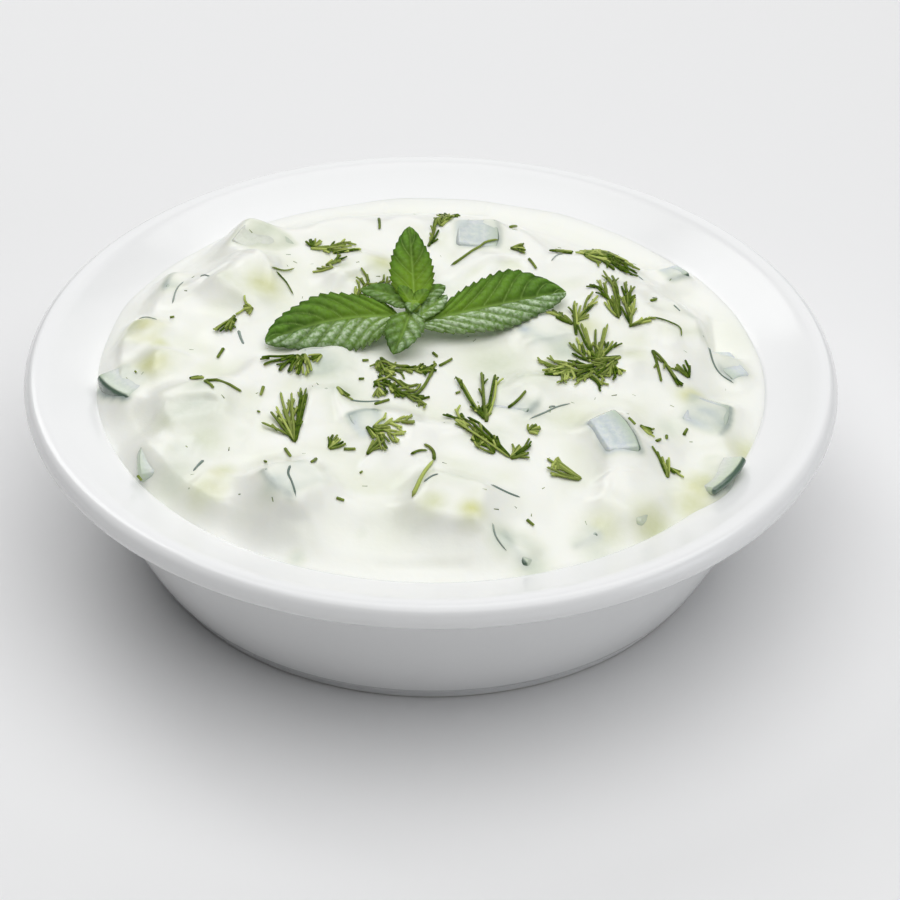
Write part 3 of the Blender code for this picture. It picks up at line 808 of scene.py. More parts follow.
def inner_profile(clearance):
    """The bowl's inner side from under the mouth down to the axis, moved inwards by a clearance."""
    profile = [(MOUTH_RADIUS - 0.9 - clearance, MOUTH_HEIGHT - 1.4)]
    for height in (33.5, 31, 28.5, 26, 23, 20, 17, 14, 12):
        profile.append((wall_radius(height) - WALL_THICKNESS - clearance, height))
    profile += [(57.0 - clearance, 9.4 + clearance), (54.4 - clearance, 7.8 + clearance)]
    profile += [(FLOOR_RADIUS - clearance, FLOOR_HEIGHT + clearance), (0, FLOOR_HEIGHT + clearance)]
    return profile


def turn(bm, profile, steps):
    """Spins a profile once round the axis."""
    verts = [bm.verts.new((radius, 0, height)) for radius, height in profile]
    edges = [bm.edges.new(pair) for pair in zip(verts, verts[1:])]
    bmesh.ops.spin(
        bm, geom=verts + edges, axis=(0, 0, 1), cent=(0, 0, 0), angle=2 * math.pi, steps=steps,
        use_merge=True,
    )
    bmesh.ops.remove_doubles(bm, verts=bm.verts, dist=1e-4)
    bmesh.ops.recalc_face_normals(bm, faces=bm.faces)


def make_bowl(porcelain):
    """The dish: a recessed foot, a side that curves up to the neck, and a wide rim that slopes inwards."""
    profile = [(0, FOOT_RECESS), (30, FOOT_RECESS), (FOOT_INNER - 3.5, FOOT_RECESS)]
    profile += [(FOOT_INNER - 1.6, FOOT_RECESS - 0.5), (FOOT_INNER - 0.4, 0.7)]
    profile += arc((FOOT_INNER + 0.5, 0.5), 0.5, 180, 270, 3)
    profile += arc((FOOT_OUTER - 0.7, 0.7), 0.7, 270, 360, 4)
    profile += [(FOOT_OUTER + 0.05, 1.5), (FOOT_OUTER + 0.15, WAIST_HEIGHT - 0.9)]
    profile += [(FOOT_OUTER + 0.7, WAIST_HEIGHT - 0.25)]
    for height in (3.2, 4, 5.5, 7.5, 10, 13, 16, 19, 22, 25, 28, 30.5, NECK_HEIGHT):
        profile.append((wall_radius(height), height))
    profile += [(NECK_RADIUS + 0.35, NECK_HEIGHT + 1.1), (NECK_RADIUS + 1.2, NECK_HEIGHT + 2.0)]
    profile += [(NECK_RADIUS + 2.6, NECK_HEIGHT + 2.75), (NECK_RADIUS + 4.4, NECK_HEIGHT + 3.2)]
    profile += arc((RIM_RADIUS - LIP_ROUNDING, RIM_HEIGHT - LIP_ROUNDING), LIP_ROUNDING, -84, 68, 12)
    for share in (0.1, 0.25, 0.4, 0.55, 0.7, 0.85, 0.95):
        radius = RIM_RADIUS - LIP_ROUNDING + (MOUTH_RADIUS + LIP_ROUNDING - RIM_RADIUS) * share
        sag = RIM_SAG * math.sin(math.pi * share)
        profile.append((radius, RIM_HEIGHT + (MOUTH_HEIGHT - RIM_HEIGHT) * share - sag))
    profile += [(MOUTH_RADIUS, MOUTH_HEIGHT - 0.06), (MOUTH_RADIUS - 0.4, MOUTH_HEIGHT - 0.4)]
    profile += inner_profile(0)
    bm = bmesh.new()
    turn(bm, profile, BOWL_STEPS)
    bowl = bmesh_to_object("porcelain_bowl", bm, porcelain)
    stands_for(bowl, "bowl")


# --- Fields: heights kept on a square raster over the dip ------------------------------------------------


def field_axis():
    """The raster's places along one side."""
    return np.linspace(-FIELD_HALF, FIELD_HALF, round(2 * FIELD_HALF / CELL) + 1)


def shifted(field, cells, axis):
    """Every copy of a field moved by up to a number of cells along an axis, with how far it moved."""
    margin = [(cells, cells) if a == axis else (0, 0) for a in (0, 1)]
    padded = np.pad(field, margin, "edge")
    size = field.shape[axis]
    for shift in range(2 * cells + 1):
        part = padded[shift:shift + size] if axis == 0 else padded[:, shift:shift + size]
        yield (shift - cells) * CELL, part


def blurred(field, spread):
    """A field softened over a distance in millimetres."""
    for axis in (0, 1):
        total, weights = 0, 0
        for away, part in shifted(field, math.ceil(3 * spread / CELL), axis):
            weight = math.exp(-0.5 * (away / spread) ** 2)
            total = total + weight * part
            weights += weight
        field = total / weights
    return field


def grown(field, radius, reach):
    """A field rolled over by a round tool, so that its high places swell."""
    for axis in (0, 1):
        best = field
        for away, part in shifted(field, math.ceil(reach / CELL), axis):
            best = np.maximum(best, part - away**2 / (2 * radius))
        field = best
    return field


def ripple(seed, spread, height):
    """Smooth random ups and downs of even strength."""
    count = len(field_axis())
    noise = blurred(np.random.default_rng(seed).standard_normal((count, count)), spread)
    return height * (noise / noise.std())


def read_field(field, x, y):
    """The field's value between its cells."""
    count = field.shape[0]
    across = np.clip((np.asarray(x) + FIELD_HALF) / CELL, 0, count - 1.001)
    back = np.clip((np.asarray(y) + FIELD_HALF) / CELL, 0, count - 1.001)
    i, j = back.astype(int), across.astype(int)
    u, v = across - j, back - i
    near = field[i, j] * (1 - u) + field[i, j + 1] * u
    far = field[i + 1, j] * (1 - u) + field[i + 1, j + 1] * u
    return near * (1 - v) + far * v


# --- Dip -------------------------------------------------------------------------------------------------


def eased(share):
    """A share held between 0 and 1 that starts and stops gently."""
    share = np.clip(share, 0, 1)
    return share * share * (3 - 2 * share)


def edge_level(angle):
    """How high the cream stands against the bowl: higher at the back and over one piece at the right."""
    uneven = 0.09 * np.sin(5 * angle + 1) + 0.07 * np.sin(11 * angle + 2.3) + 0.04 * np.sin(23 * angle)
    climbing = 1.4 * np.exp(-(((angle + 0.61) / 0.12) ** 2))
    return 37.02 + 0.5 * np.sin(angle) - 0.12 * np.cos(angle) + uneven + climbing


def edge_radius(angle):
    """Where the cream meets the bowl: on the rim where it stands high, on the inner side where it is low."""
    over = edge_level(angle) - MOUTH_HEIGHT
    slope = (RIM_HEIGHT - MOUTH_HEIGHT) / (RIM_RADIUS - LIP_ROUNDING - MOUTH_RADIUS)
    return MOUTH_RADIUS + np.where(over > 0, over / slope, over * 0.64)


def heap(x, y):
    """Height of the bare dip before any piece of cucumber lifts it."""
    angle, away = np.arctan2(y, x), np.hypot(x, y)
    reach = MOUND_RADIUS - MOUND_SHIFT * np.cos(angle - math.radians(MOUND_SHIFT_TURN))
    turned = (np.degrees(angle) - HOLLOW_TURN + 180) % 360 - 180
    reach = reach - HOLLOW_DEPTH * np.exp(-((turned / HOLLOW_SPREAD) ** 2))
    front = eased(0.5 - 0.9 * np.sin(angle - math.radians(FRONT_TURN)))
    full = 1 - (1 - np.clip((reach - away) / SHOULDER, 0, 1)) ** SHOULDER_POWER
    soft = 1 - (1 - np.clip((reach + FRONT_REACH - away) / FRONT_SHOULDER, 0, 1)) ** FRONT_POWER
    rise = full + front * (soft - full)
    height = EDGE_LEVEL + (CROWN_LEVEL - EDGE_LEVEL) * rise
    for lump_x, lump_y, radius, lump in LUMPS:
        share = np.clip(np.hypot(x - lump_x, y - lump_y) / radius, 0, 1)
        height += rise * lump * np.cos(share * math.pi / 2) ** 2
    near_edge = eased((away - NEAR_EDGE) / NEAR_EDGE_WIDTH)
    return height + near_edge * (edge_level(angle) + 0.3 - EDGE_LEVEL)


def hidden_lumps(x, y):
    """The swellings over pieces that lie deeper in the dip: blunt blocks turned every way."""
    rng = random.Random(41)
    height = np.zeros_like(x)
    for block_x, block_y, turned, length, width, lift in BLOCKS:
        turned = math.radians(turned)
        dx, dy = x - block_x, y - block_y
        along = (dx * math.cos(turned) + dy * math.sin(turned)) / length
        across = (dy * math.cos(turned) - dx * math.sin(turned)) / width
        block = np.exp(-(np.abs(along) ** 4) - np.abs(across) ** 4)
        height = np.maximum(height, lift * block * (0.62 + 0.38 * np.clip(along, -1, 1)))
    for _ in range(HIDDEN_PIECES):
        turned = rng.uniform(0, math.pi)
        away = HIDDEN_RADIUS * math.sqrt(rng.random())
        where = rng.uniform(0, 2 * math.pi)
        dx, dy = x - away * math.cos(where), y - away * math.sin(where)
        along = (dx * math.cos(turned) + dy * math.sin(turned)) / rng.uniform(4.4, 7.0)
        across = (dy * math.cos(turned) - dx * math.sin(turned)) / rng.uniform(3.4, 5.4)
        height += rng.uniform(0.5, 1.7) * np.exp(-(np.abs(along) ** 2.6) - np.abs(across) ** 2.6)
    return height


def clear_spaces(cream, x, y):
    """The cream kept below the clear spaces, with a sloping bank round each."""
    for floor, (left, front), (right, back) in EDGE_SPACES:
        aside = np.maximum(np.maximum(left - x, x - right), 0)
        beyond = np.maximum(np.maximum(front - y, y - back), 0)
        cream = np.minimum(cream, floor + SPACE_BANK * np.hypot(aside, beyond))
    return cream


def folds(x, y):
    """How far the folds stand out: each fades towards its ends and on its gentle side."""
    height = np.zeros_like(x)
    for rise, corners in FOLDS:
        steps = list(zip(corners, corners[1:]))
        for number, ((x_1, y_1), (x_2, y_2)) in enumerate(steps):
            dx, dy = x_2 - x_1, y_2 - y_1
            share = np.clip(((x - x_1) * dx + (y - y_1) * dy) / (dx**2 + dy**2), 0, 1)
            away = np.hypot(x - x_1 - share * dx, y - y_1 - share * dy)
            left = dx * (y - y_1) > dy * (x - x_1)
            width = np.where(left, FOLD_GENTLE, FOLD_SHARP)
            taper = np.sin(math.pi * (number + share) / len(steps)) ** 0.6
            height = np.maximum(height, rise * taper * np.exp(-((away / width) ** 1.5)))
    return height


def piece_axes(row):
    """How a piece of cucumber is turned, as a matrix whose first column points to its skin."""
    turned, lift, roll = row[:3]
    return np.array(Euler([math.radians(a) for a in (roll, -lift, turned)]).to_matrix())


def node_bmesh(node):
    """A copy of a node's mesh in millimetres, merged into one skin."""
    bm = bmesh.new()
    bm.from_mesh(bpy.data.objects[node].data)
    bmesh.ops.scale(bm, vec=(1 / MM,) * 3, verts=bm.verts)
    bmesh.ops.remove_doubles(bm, verts=bm.verts, dist=1e-3)
    return bm


def slice_places(points, axes, whole):
    """Where points are in the slice that a piece was cut from: its centre is the slice's core."""
    turned, own = points @ axes, whole @ axes
    middle = (own.min(axis=0) + own.max(axis=0)) / 2
    middle[0] = own[:, 0].max() - SLICE_RADIUS
    return turned - middle


def flesh_colours(places, row):
    """The colour that shows through thin cream at places in a slice, and how much of it is skin."""
    green, yellow, glassy, peel = row[5:9]
    away = np.hypot(places[:, 0], places[:, 1])[:, None]
    flesh = np.array(PALE_FLESH)
    for share, goal in ((green, GREEN_FLESH), (yellow, YELLOW_FLESH), (glassy, GLASSY_FLESH)):
        flesh = flesh + share * (np.array(goal) - flesh)
    rind = np.clip((away - RIND_RADIUS) / RIND_WIDTH, 0, 1)
    skin = peel * np.clip((away - SKIN_RADIUS) / 0.5, 0, 1)
    return flesh * (1 - 0.5 * rind) + np.array(RIND_COLOUR) * 0.5 * rind, skin[:, 0]


def window(low, high):
    """The raster's cells between two places along one side."""
    ends = (max(low, -FIELD_HALF), min(high, FIELD_HALF))
    return slice(*(int((end + FIELD_HALF) / CELL) for end in ends))


def cucumber_tops(x, y):
    """For each piece: the cells over it, its top there, and the colours and skin near its surface."""
    tops = []
    for number, row in enumerate(CUCUMBER, 1):
        bm = node_bmesh(f"cucumber_{number:02d}")
        tree = BVHTree.FromBMesh(bm)
        whole = np.array([vert.co for vert in bm.verts])
        bm.free()
        low, high = whole.min(axis=0) - 5, whole.max(axis=0) + 5
        cells = (window(low[1], high[1]), window(low[0], high[0]))
        wide, deep = x[cells], y[cells]
        top = np.full(wide.shape, LOWEST_TOP)
        for index in np.ndindex(wide.shape):
            hit = tree.ray_cast(Vector((wide[index], deep[index], 90)), Vector((0, 0, -1)))[0]
            if hit is not None:
                top[index] = hit.z
        wrapped = grown(top, 0.22, 2.0)
        places = np.stack([wide.ravel(), deep.ravel(), wrapped.ravel()], axis=1)
        colours, skin = flesh_colours(slice_places(places, piece_axes(row), whole), row)
        tops.append((cells, top, wrapped, colours.reshape(*wide.shape, 3), skin.reshape(wide.shape)))
    return tops


def stained(colour, strength, shade, share):
    """The tints and painted shade laid so far, with one more laid over them."""
    share = share[..., None]
    return colour * (1 - share) + shade * share, np.maximum(strength, share[..., 0])


def coat(x, y, tops):
    """The cream's height over all that lies in it, and the folds on it."""
    base = heap(x, y)
    inner = eased((UNEVEN_RADIUS - np.hypot(x, y)) / UNEVEN_FADE)
    base += inner * (hidden_lumps(x, y) + ripple(*BROAD_RIPPLE) + ripple(*FINE_RIPPLE))
    film = ripple(*FILM_RIPPLE)
    coated = base.copy()
    for (cells, top, *_), row in zip(tops, CUCUMBER):
        swollen = blurred(grown(top, SWELL_RADIUS, SWELL_REACH), SWELL_BLUR)
        thick = np.maximum(swollen + row[3], top + min(row[3], THINNEST_FILM))
        coated[cells] = np.maximum(coated[cells], thick + film[cells])
    cream = -grown(-grown(coated, FILLET, 10.0), FILLET, 10.0)
    cream = clear_spaces(cream, x, y)
    crease = blurred(inner * folds(x, y), CREASE_BLUR)
    return blurred(cream, CREAM_BLUR) + CREASE_HEIGHT * crease, crease


def bare_stains(x, y, cream, crease):
    """Colour and strength of the painted shade in the cream's hollows, beside its folds and on its slopes,
    and of the patches over what lies deep.
    """
    # Painted shade: darker where the cream lies in a hollow, beside the sharp side of each fold, and on
    # steep slopes.
    hollow_shade = blurred(cream, HOLLOW_REACH) - cream + ripple(*SHADE_RIPPLE)
    hollow_shade = np.clip((hollow_shade + CREASE_SHADE * (blurred(crease, 1.2) - crease)) / HOLLOW_FULL, 0, 1)
    hollow_shade *= 1 - 0.75 * eased((np.hypot(x, y) - 46) / 12)
    colour = np.zeros((*x.shape, 3)) + np.array(HOLLOW_SHADE_COLOUR)
    slope = np.hypot(*np.gradient(blurred(cream, 0.8), CELL))
    strength = HOLLOW_SHADE * hollow_shade + SLOPE_SHADE * eased((slope - 0.25) / 0.6)
    strength *= eased((69 - np.hypot(x, y)) / 5)
    # Stains over pieces that lie deep, and painted shade under the mint's right leaf and in some hollows.
    for spot_x, spot_y, radius, green, yellow in STAINS_AND_SHADE:
        share = np.exp(-(((x - spot_x) ** 2 + (y - spot_y) ** 2) / radius**2)) * max(green, yellow)
        shade = np.array(STAIN_AND_SHADE_COLOUR) + yellow * np.array(STAIN_AND_SHADE_YELLOWING)
        colour, strength = stained(colour, strength, shade, share)
    return colour, strength


def make_fields():
    """The cream's height, the height of whatever is on top, and the colour and strength of its tints and
    painted shade.
    """
    axis = field_axis()
    x, y = np.meshgrid(axis, axis)
    tops = cucumber_tops(x, y)
    cream, crease = coat(x, y, tops)
    highest = cream.copy()
    colour, strength = bare_stains(x, y, cream, crease)
    mottle = 0.85 + ripple(*MOTTLE_RIPPLE)
    for (cells, top, wrapped, shades, skin), row in zip(tops, CUCUMBER):
        highest[cells] = np.maximum(highest[cells], top)
        gap = np.clip(cream[cells] - wrapped, 0, None)
        flesh = blurred(row[4] * np.exp(-((gap / FLESH_FADE) ** 1.6)), 0.3 + 0.7 * clamp(row[3]))
        flesh = np.clip(flesh * mottle[cells], 0, 1)
        skin = blurred(skin * np.exp(-((gap / SKIN_FADE) ** 1.6)), 0.25)
        piece = stained(colour[cells], strength[cells], shades, flesh)
        colour[cells], strength[cells] = stained(*piece, np.array(SKIN_COLOUR), skin)
    return cream, highest, colour, blurred(strength, 0.3)


def close_below(bm, edges):
    """Carries an open edge down the inside of the bowl and closes it at the bottom."""
    for radius, height in inner_profile(-0.3)[:-1]:
        sides = bmesh.ops.extrude_edge_only(bm, edges=edges)["geom"]
        for vert in (item for item in sides if isinstance(item, bmesh.types.BMVert)):
            away = math.hypot(vert.co.x, vert.co.y)
            vert.co = (vert.co.x * radius / away, vert.co.y * radius / away, height)
        edges = [item for item in sides if isinstance(item, bmesh.types.BMEdge)]
    bmesh.ops.contextual_create(bm, geom=edges)
    bmesh.ops.recalc_face_normals(bm, faces=bm.faces)


def make_dip(cream, colour, strength, yoghurt):
    """The dip: a fine sheet over the raster's heights, closed down the inside of the bowl."""
    bm = bmesh.new()
    bmesh.ops.create_grid(bm, x_segments=DIP_STEPS, y_segments=DIP_STEPS, size=1)
    square = np.array([vert.co for vert in bm.verts])
    across = square[:, 0] * np.sqrt(1 - square[:, 1] ** 2 / 2)
    back = square[:, 1] * np.sqrt(1 - square[:, 0] ** 2 / 2)
    angle = np.arctan2(back, across)
    share = np.minimum(np.hypot(across, back), 1)
    rim = edge_radius(angle)
    away = share * rim
    x, y = away * np.cos(angle), away * np.sin(angle)
    height = read_field(cream, x, y)
    contact = edge_level(angle) - 0.08
    rounding = np.clip((rim - away) / EDGE_ROUNDING, 0, 1)
    height = contact + (height - contact) * (1 - (1 - rounding) ** EDGE_POWER)
    for vert, place in zip(bm.verts, zip(x, y, height)):
        vert.co = place
    close_below(bm, [edge for edge in bm.edges if edge.is_boundary])
    places = np.array([vert.co for vert in bm.verts])
    dip = bmesh_to_object("tzatziki_dip", bm, yoghurt)
    dip.data.set_sharp_from_angle(angle=math.radians(60))
    fields = (*np.moveaxis(colour, 2, 0), strength)
    stain_and_shade_fields = [read_field(field, places[:, 0], places[:, 1]) for field in fields]
    store(dip, "stain_and_shade", "FLOAT_COLOR", np.stack(stain_and_shade_fields, axis=1))
    stands_for(dip, "dip")


# --- Cucumber --------------------------------------------------------------------------------------------


def make_cucumber(wet_flesh):
    """Each piece with worn corners, and where every point of it lay in the slice it was cut from."""
    for number, row in enumerate(CUCUMBER, 1):
        node = f"cucumber_{number:02d}"
        bm = node_bmesh(node)
        bmesh.ops.dissolve_limit(bm, angle_limit=math.radians(2), verts=bm.verts, edges=bm.edges)
        corners = [edge for edge in bm.edges if edge.calc_face_angle(0) > math.radians(20)]
        bmesh.ops.bevel(
            bm, geom=corners, offset=WORN_CORNER, offset_type="OFFSET", segments=2, profile=0.5,
            affect="EDGES", clamp_overlap=True, material=-1,
        )
        bmesh.ops.triangulate(bm, faces=bm.faces)
        for _ in range(2):
            long_edges = [edge for edge in bm.edges if edge.calc_length() > LONGEST_EDGE]
            bmesh.ops.subdivide_edges(bm, edges=long_edges, cuts=1, use_grid_fill=True)
            bmesh.ops.triangulate(bm, faces=bm.faces)
        places = np.array([vert.co for vert in bm.verts])
        local = slice_places(places, piece_axes(row), places)
        piece = bmesh_to_object(f"{node}_flesh", bm, wet_flesh)
        piece.data.set_sharp_from_angle(angle=math.radians(38))
        store(piece, "in_slice", "FLOAT_VECTOR", local)
        store(piece, "flesh", "FLOAT_VECTOR", np.tile(row[5:8], len(places)))
        store(piece, "peel", "FLOAT", np.full(len(places), min(row[8] * 2, 1)))
        stands_for(piece, node)


# --- Mint ------------------------------------------------------------------------------------------------


def leaf_outline(share, widest):
    """Half the width of a leaf at a share of its length, as a share of its widest."""
    if not 0 < share < 1:
        return TIP_SHARE
    power = math.log(0.5) / math.log(widest)
    return TIP_SHARE + (1 - TIP_SHARE) * math.sin(math.pi * share**power) ** OUTLINE_POWER


def midrib(start, middle, end, share):
    """A point on a midrib that bends through its middle, and the way it runs there."""
    bend = 2 * middle - (start + end) / 2
    point = (1 - share) ** 2 * start + 2 * share * (1 - share) * bend + share**2 * end
    return point, (2 * (1 - share) * (bend - start) + 2 * share * (end - bend)).normalized()


def add_leaf(bm, row, layer, puffed):
    """A mint leaf: a grid rolled into a flat closed shell, bent along its midrib, toothed and veined."""
    name, *rib, left_half, right_half, teeth, fresh, left_sheen, right_sheen = row
    rib = [Vector(point) for point in rib]
    length = (rib[1] - rib[0]).length + (rib[2] - rib[1]).length
    width = left_half[0] + right_half[0]
    steps = max(20, int(length / LEAF_STEP))
    girth = max(20, int(width / LEAF_GIRTH_STEP)) * 2
    rolled = bmesh.ops.create_grid(bm, x_segments=steps, y_segments=girth, size=1)["verts"]
    rng = random.Random(name)
    wave, veins = rng.uniform(0, 6), max(4, round(length / VEIN_SPACING))
    for vert in rolled:
        share, loop = (vert.co.x + 1) / 2, vert.co.y * math.pi
        across, thick = math.sin(loop), math.cos(loop)
        edge, left = abs(across), across > 0
        reach, widest, tilt = left_half if left else right_half
        point, along = midrib(*rib, share)
        side = Vector((0, 0, 1)).cross(along).normalized()
        up = along.cross(side)
        tooth = ((share - 0.10 * (1 - edge)) * teeth + (0.4 if left else 0)) % 1
        half = reach * leaf_outline(share, widest) * (1 + TOOTH_DEPTH * edge**7 * (tooth - 0.6))
        bend = 0.40 * edge**1.2 * (1 - 0.45 * share) + 0.02 * math.sin(wave + 9 * share)
        nerve = (share - bend) * veins + (0.5 if left else 0)
        ridge = abs((nerve % 1) - 0.5) * 2
        branch = abs((nerve * 3 + 5 * edge) % 1 - 0.5) * 2
        stem_line = math.exp(-((edge * half / 0.34) ** 2)) * (1 - 0.5 * share)
        vein = max(stem_line, ridge**14 * (1 - edge**4), 0.30 * branch**8 * (1 - edge**2) * clamp(edge * 4))
        puff = (1 - ridge**2) * min(edge * 5, 1) * (1 - edge**6) * (0.8 + 0.2 * (1 - branch**2))
        ends = clamp(share * 12) * clamp((1 - share) * 12)
        relief = (LEAF_RELIEF * width * puff - MIDRIB_DEPTH * stem_line) * ends
        curl = -0.10 * half * edge**3 + 0.03 * half * math.sin(share * 16 + wave) * edge**2
        rise = relief + curl + half * edge * math.sin(math.radians(tilt))
        rise += LEAF_THICKNESS / 2 * thick * math.sqrt(max(1 - edge**8, 0)) * (0.3 + 0.7 * (1 - edge**2))
        vert.co = point + side * (across * half * math.cos(math.radians(tilt))) + up * rise
        under = clamp(-thick * 4)
        # Painted sheen: one half of each leaf is paler, most on its puffs, where it would catch reflected
        # light.
        sheen_and_down = (left_sheen if left else right_sheen) * clamp(edge * 7) * (0.12 + 0.88 * puff**1.5)
        young = fresh * clamp(1 - 1.25 * share) * (1 - 0.65 * edge)
        vert[layer] = (young, vein * (1 - 0.5 * under), max(sheen_and_down, 0.7 * under))
        vert[puffed] = max(puff, under)


def make_mint(leaf_green):
    """The sprig: a short stem pushed into the dip, a bud, and leaves round it."""
    bm = bmesh.new()
    bm.verts.layers.float_vector.new("leaf")
    bm.verts.layers.float.new("puff")
    layer, puffed = bm.verts.layers.float_vector["leaf"], bm.verts.layers.float["puff"]
    foot, top = Vector(STEM_FOOT), Vector(STEM_TOP)
    direction = (top - foot).to_track_quat("Z", "Y").to_matrix().to_4x4()
    bmesh.ops.create_cone(
        bm, cap_ends=True, segments=16, radius1=STEM_RADIUS, radius2=STEM_RADIUS * 1.2,
        depth=(top - foot).length,
        matrix=Matrix.Translation((foot + top) / 2) @ direction,
    )
    bmesh.ops.create_icosphere(bm, subdivisions=3, radius=BUD_RADIUS, matrix=Matrix.Translation(top))
    for vert in bm.verts:
        vert[layer] = (0.7, 0.2, 0.1)
    for row in MINT_LEAVES:
        add_leaf(bm, row, layer, puffed)
    bmesh.ops.remove_doubles(bm, verts=bm.verts, dist=1e-4)
    bmesh.ops.holes_fill(bm, edges=bm.edges, sides=0)
    bmesh.ops.recalc_face_normals(bm, faces=bm.faces)
    mint = bmesh_to_object("mint_sprig_leaves", bm, leaf_green)
    stands_for(mint, "mint_sprig")


# --- Dill ------------------------------------------------------------------------------------------------


def add_thread(bm, layer, points, radius, tone, sides=5):
    """A blade or a stem: a narrow grid rolled round a line of points, a little thinner at its tip."""
    steps = len(points) - 1
    rolled = bmesh.ops.create_grid(bm, x_segments=steps, y_segments=sides, size=1)["verts"]
    for vert in rolled:
        step, around = round((vert.co.x + 1) / 2 * steps), vert.co.y * math.pi
        ahead = points[min(step + 1, steps)] - points[max(step - 1, 0)]
        side = ahead.cross(Vector((0, 0, 1)))
        side = side.normalized() if side.length > 1e-6 else Vector((1, 0, 0))
        up = side.cross(ahead.normalized())
        share = step / steps
        girth = radius * (1 - 0.3 * share) if 0 < step < steps else 0
        vert.co = points[step] + side * (math.cos(around) * girth) + up * (math.sin(around) * girth * 0.8)
        # Painted shade: each thread is darker at its base and lighter towards its tip.
        vert[layer] = clamp(tone - 0.1 + 0.35 * share)


def laid_line(ground, start, turned, length, bend, lift, steps=6):
    """Points of a blade laid on the dip from a start, bending as it goes and lifting towards its tip."""
    x, y = start
    points = []
    shares = [0, 0.06, *(step / (steps - 2) for step in range(1, steps - 2)), 0.95, 1]
    for share, ahead in zip(shares, shares[1:] + [1]):
        raised = lift * math.sin(share * math.pi / 2)
        z = float(read_field(ground, x, y)) + 0.22 + raised
        points.append(Vector((x, y, z)))
        heading = math.radians(turned + bend * share)
        x += math.cos(heading) * length * (ahead - share)
        y += math.sin(heading) * length * (ahead - share)
    return points


def smooth_line(ground, corners, lift=0.35):
    """Points of a bent stem through its corners, laid on the dip."""
    places = [Vector((*corner, 0)) for corner in corners]
    ends = [2 * places[0] - places[1], *places, 2 * places[-1] - places[-2]]
    points = []
    for a, b, c, d in zip(ends, ends[1:], ends[2:], ends[3:]):
        for step in range(4):
            t = step / 4
            point = 2 * b + (c - a) * t + (2 * a - 5 * b + 4 * c - d) * t**2
            points.append(0.5 * (point + (3 * b - 3 * c + d - a) * t**3))
    points.append(places[-1])
    for point in points:
        point.z = float(read_field(ground, point.x, point.y)) + lift
    return points


def add_sprig(bm, layer, ground, row, rng):
    """Blades that spring from a stem and bend back along it, most with a finer blade of their own."""
    x, y, turned, length, fan, blades, feather, tone = row
    sway = rng.uniform(-10, 10)
    stem = laid_line(ground, (x, y), turned, length * 0.9 * feather + 0.4, sway, 0.2, 8)
    if feather > 0.2:
        add_thread(bm, layer, stem, 0.34, tone * 0.8)
    for number in range(blades):
        order = number / max(blades - 1, 1)
        wide = order - 0.5 if feather < 0.5 else (number % 2 - 0.5) * rng.uniform(0.8, 1.2)
        start = stem[min(int((order if feather >= 0.5 else rng.random() * 0.6) * 8), 7)]
        reach = length * (1 - feather * 0.62) * rng.uniform(0.8, 1.0) * (1 - 0.25 * feather * order)
        own = turned + sway * order + fan * wide * 1.4 + rng.uniform(-6, 6)
        bend = -fan * wide * rng.uniform(0.5, 1.1) + rng.uniform(-8, 8)
        lift = rng.uniform(0.05, 0.25 + 0.05 * min(reach, 12))
        shade = tone + rng.choice((-0.4, -0.2, 0.0, 0.15, 0.5))
        points = laid_line(ground, start[:2], own, reach, bend, lift)
        add_thread(bm, layer, points, rng.uniform(0.32, 0.42), shade)
        for _ in range(int(reach / (3.2 if feather > 0.3 else 8.0) + rng.random())):
            fork = points[rng.choice((2, 3, 4))]
            aside = own + bend * 0.5 + rng.choice((-1, 1)) * rng.uniform(16, 34)
            twig = laid_line(ground, fork[:2], aside, rng.uniform(1.2, 2.6), -bend, lift, 4)
            add_thread(bm, layer, twig, rng.uniform(0.26, 0.33), shade + 0.1)


def herb_mesh():
    """An empty mesh that holds a tone for every point."""
    bm = bmesh.new()
    return bm, bm.verts.layers.float.new("tone")


def lay_herbs(name, bm, material):
    """Closes the blades in a mesh and adds them to the part."""
    bmesh.ops.remove_doubles(bm, verts=bm.verts, dist=1e-4)
    bmesh.ops.recalc_face_normals(bm, faces=bm.faces)
    herbs = bmesh_to_object(name, bm, material)
    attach(herbs, "root")


def make_dill(ground, fresh_green):
    """Chopped dill over the dip: sprigs, bent stems and single blades."""
    rng = random.Random(7)
    bm, layer = herb_mesh()
    for row in DILL_SPRIGS:
        add_sprig(bm, layer, ground, row, random.Random(repr(row)))
    for x, y, turned, length in DILL_BLADES:
        heading = math.radians(turned)
        start = (x - math.cos(heading) * length / 2, y - math.sin(heading) * length / 2)
        points = laid_line(ground, start, turned, length, rng.uniform(-16, 16), 0.1, 5)
        add_thread(bm, layer, points, min(0.4, 0.2 + length * 0.12), rng.uniform(0.05, 0.35))
    for radius, tone, corners in DILL_STEMS:
        add_thread(bm, layer, smooth_line(ground, corners), radius, tone)
    lay_herbs("dill_sprigs", bm, fresh_green)


def make_sunk_threads(ground, creamed):
    """Herb threads and slivers of skin that lie just under the cream's surface."""
    bm, layer = herb_mesh()
    for radius, skin, corners in SUNK_THREADS:
        add_thread(bm, layer, smooth_line(ground, corners, 0.25 - radius * 0.8), radius, skin)
    lay_herbs("sunk_threads", bm, creamed)


def make_crumbs(ground, fresh_green):
    """The finest flecks of chopped dill."""
    rng = random.Random(19)
    bm, layer = herb_mesh()
    for _ in range(CRUMBS):
        away, where = CRUMB_RADIUS * math.sqrt(rng.random()), rng.uniform(0, 2 * math.pi)
        start = (away * math.cos(where), away * math.sin(where))
        points = laid_line(ground, start, rng.uniform(0, 360), rng.uniform(0.5, 1.3), 0, 0, 4)
        for point in points:
            point.z -= 0.3
        add_thread(bm, layer, points, rng.uniform(0.14, 0.24), rng.uniform(0, 0.3), 4)
    lay_herbs("dill_flecks", bm, fresh_green)


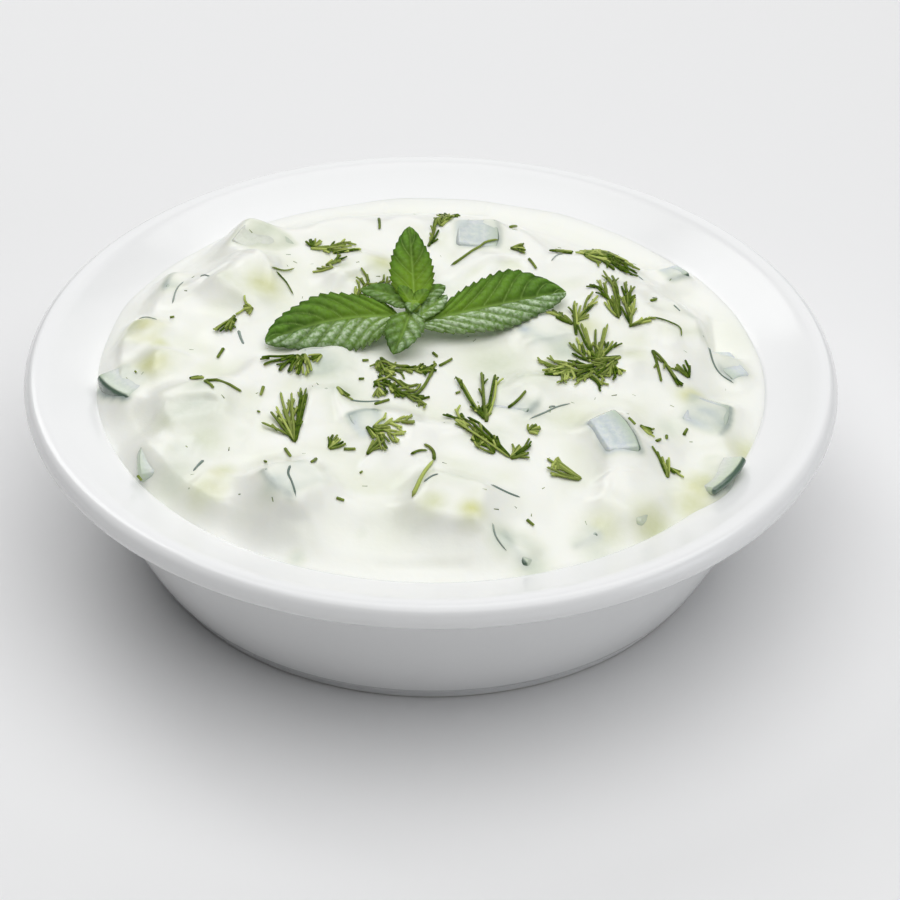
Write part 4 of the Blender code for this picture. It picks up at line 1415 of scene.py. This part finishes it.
# --- Studio ----------------------------------------------------------------------------------------------


def make_table(pale):
    """The surface that the bowl stands on."""
    bm = bmesh.new()
    bmesh.ops.create_grid(bm, x_segments=2, y_segments=2, size=TABLE_HALF)
    table = bmesh_to_object("table", bm, pale)


def add_light(name, place, size, power, colour):
    """A soft round lamp that looks at the bowl."""
    data = bpy.data.lights.new(name, "AREA")
    data.shape = "DISK"
    data.size = size
    data.energy = power
    data.color = colour
    lamp = bpy.data.objects.new(name, data)
    bpy.context.scene.collection.objects.link(lamp)
    lamp.location = Vector(place)
    lamp.rotation_euler = (Vector(LIGHT_AIM) - Vector(place)).to_track_quat("-Z", "Y").to_euler()


def make_studio():
    """Soft light from above and behind, a weak fill low on the right, and a pale room."""
    for row in LIGHTS:
        add_light(*row)
    world = bpy.data.worlds.new("pale_room")
    bpy.context.scene.world = world
    world.use_nodes = True
    background = world.node_tree.nodes["Background"]
    background.inputs["Color"].default_value = ROOM_COLOUR
    background.inputs["Strength"].default_value = ROOM_STRENGTH
    bpy.context.scene.view_settings.view_transform = "Standard"


def make_camera():
    """The camera, a little over half a metre away and looking down at the dip."""
    lift, roll = math.radians(CAMERA_ELEVATION), math.radians(CAMERA_ROLL)
    right = Vector((math.cos(roll), math.sin(roll) * math.sin(lift), math.sin(roll) * math.cos(lift)))
    ahead = Vector((0, math.cos(lift), -math.sin(lift)))
    up = right.cross(ahead)
    data = bpy.data.cameras.new("camera")
    data.lens = CAMERA_LENS
    data.sensor_width = CAMERA_SENSOR
    data.clip_start = 0.01
    camera = bpy.data.objects.new("camera", data)
    bpy.context.scene.collection.objects.link(camera)
    turned = Matrix((right, up, -ahead)).transposed().to_4x4()
    camera.matrix_world = Matrix.Translation(Vector(CAMERA_PLACE) * MM) @ turned
    bpy.context.scene.camera = camera


def main():
    """Builds every piece."""
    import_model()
    make_camera()
    make_studio()
    make_table(table_finish())
    make_bowl(porcelain_finish())
    cream, ground, colour, strength = make_fields()
    make_dip(cream, colour, strength, cream_finish())
    make_cucumber(cucumber_finish())
    make_mint(mint_finish())
    fresh_green = dill_finish()
    make_dill(ground, fresh_green)
    make_crumbs(ground, fresh_green)
    make_sunk_threads(ground, sunk_finish())


main()
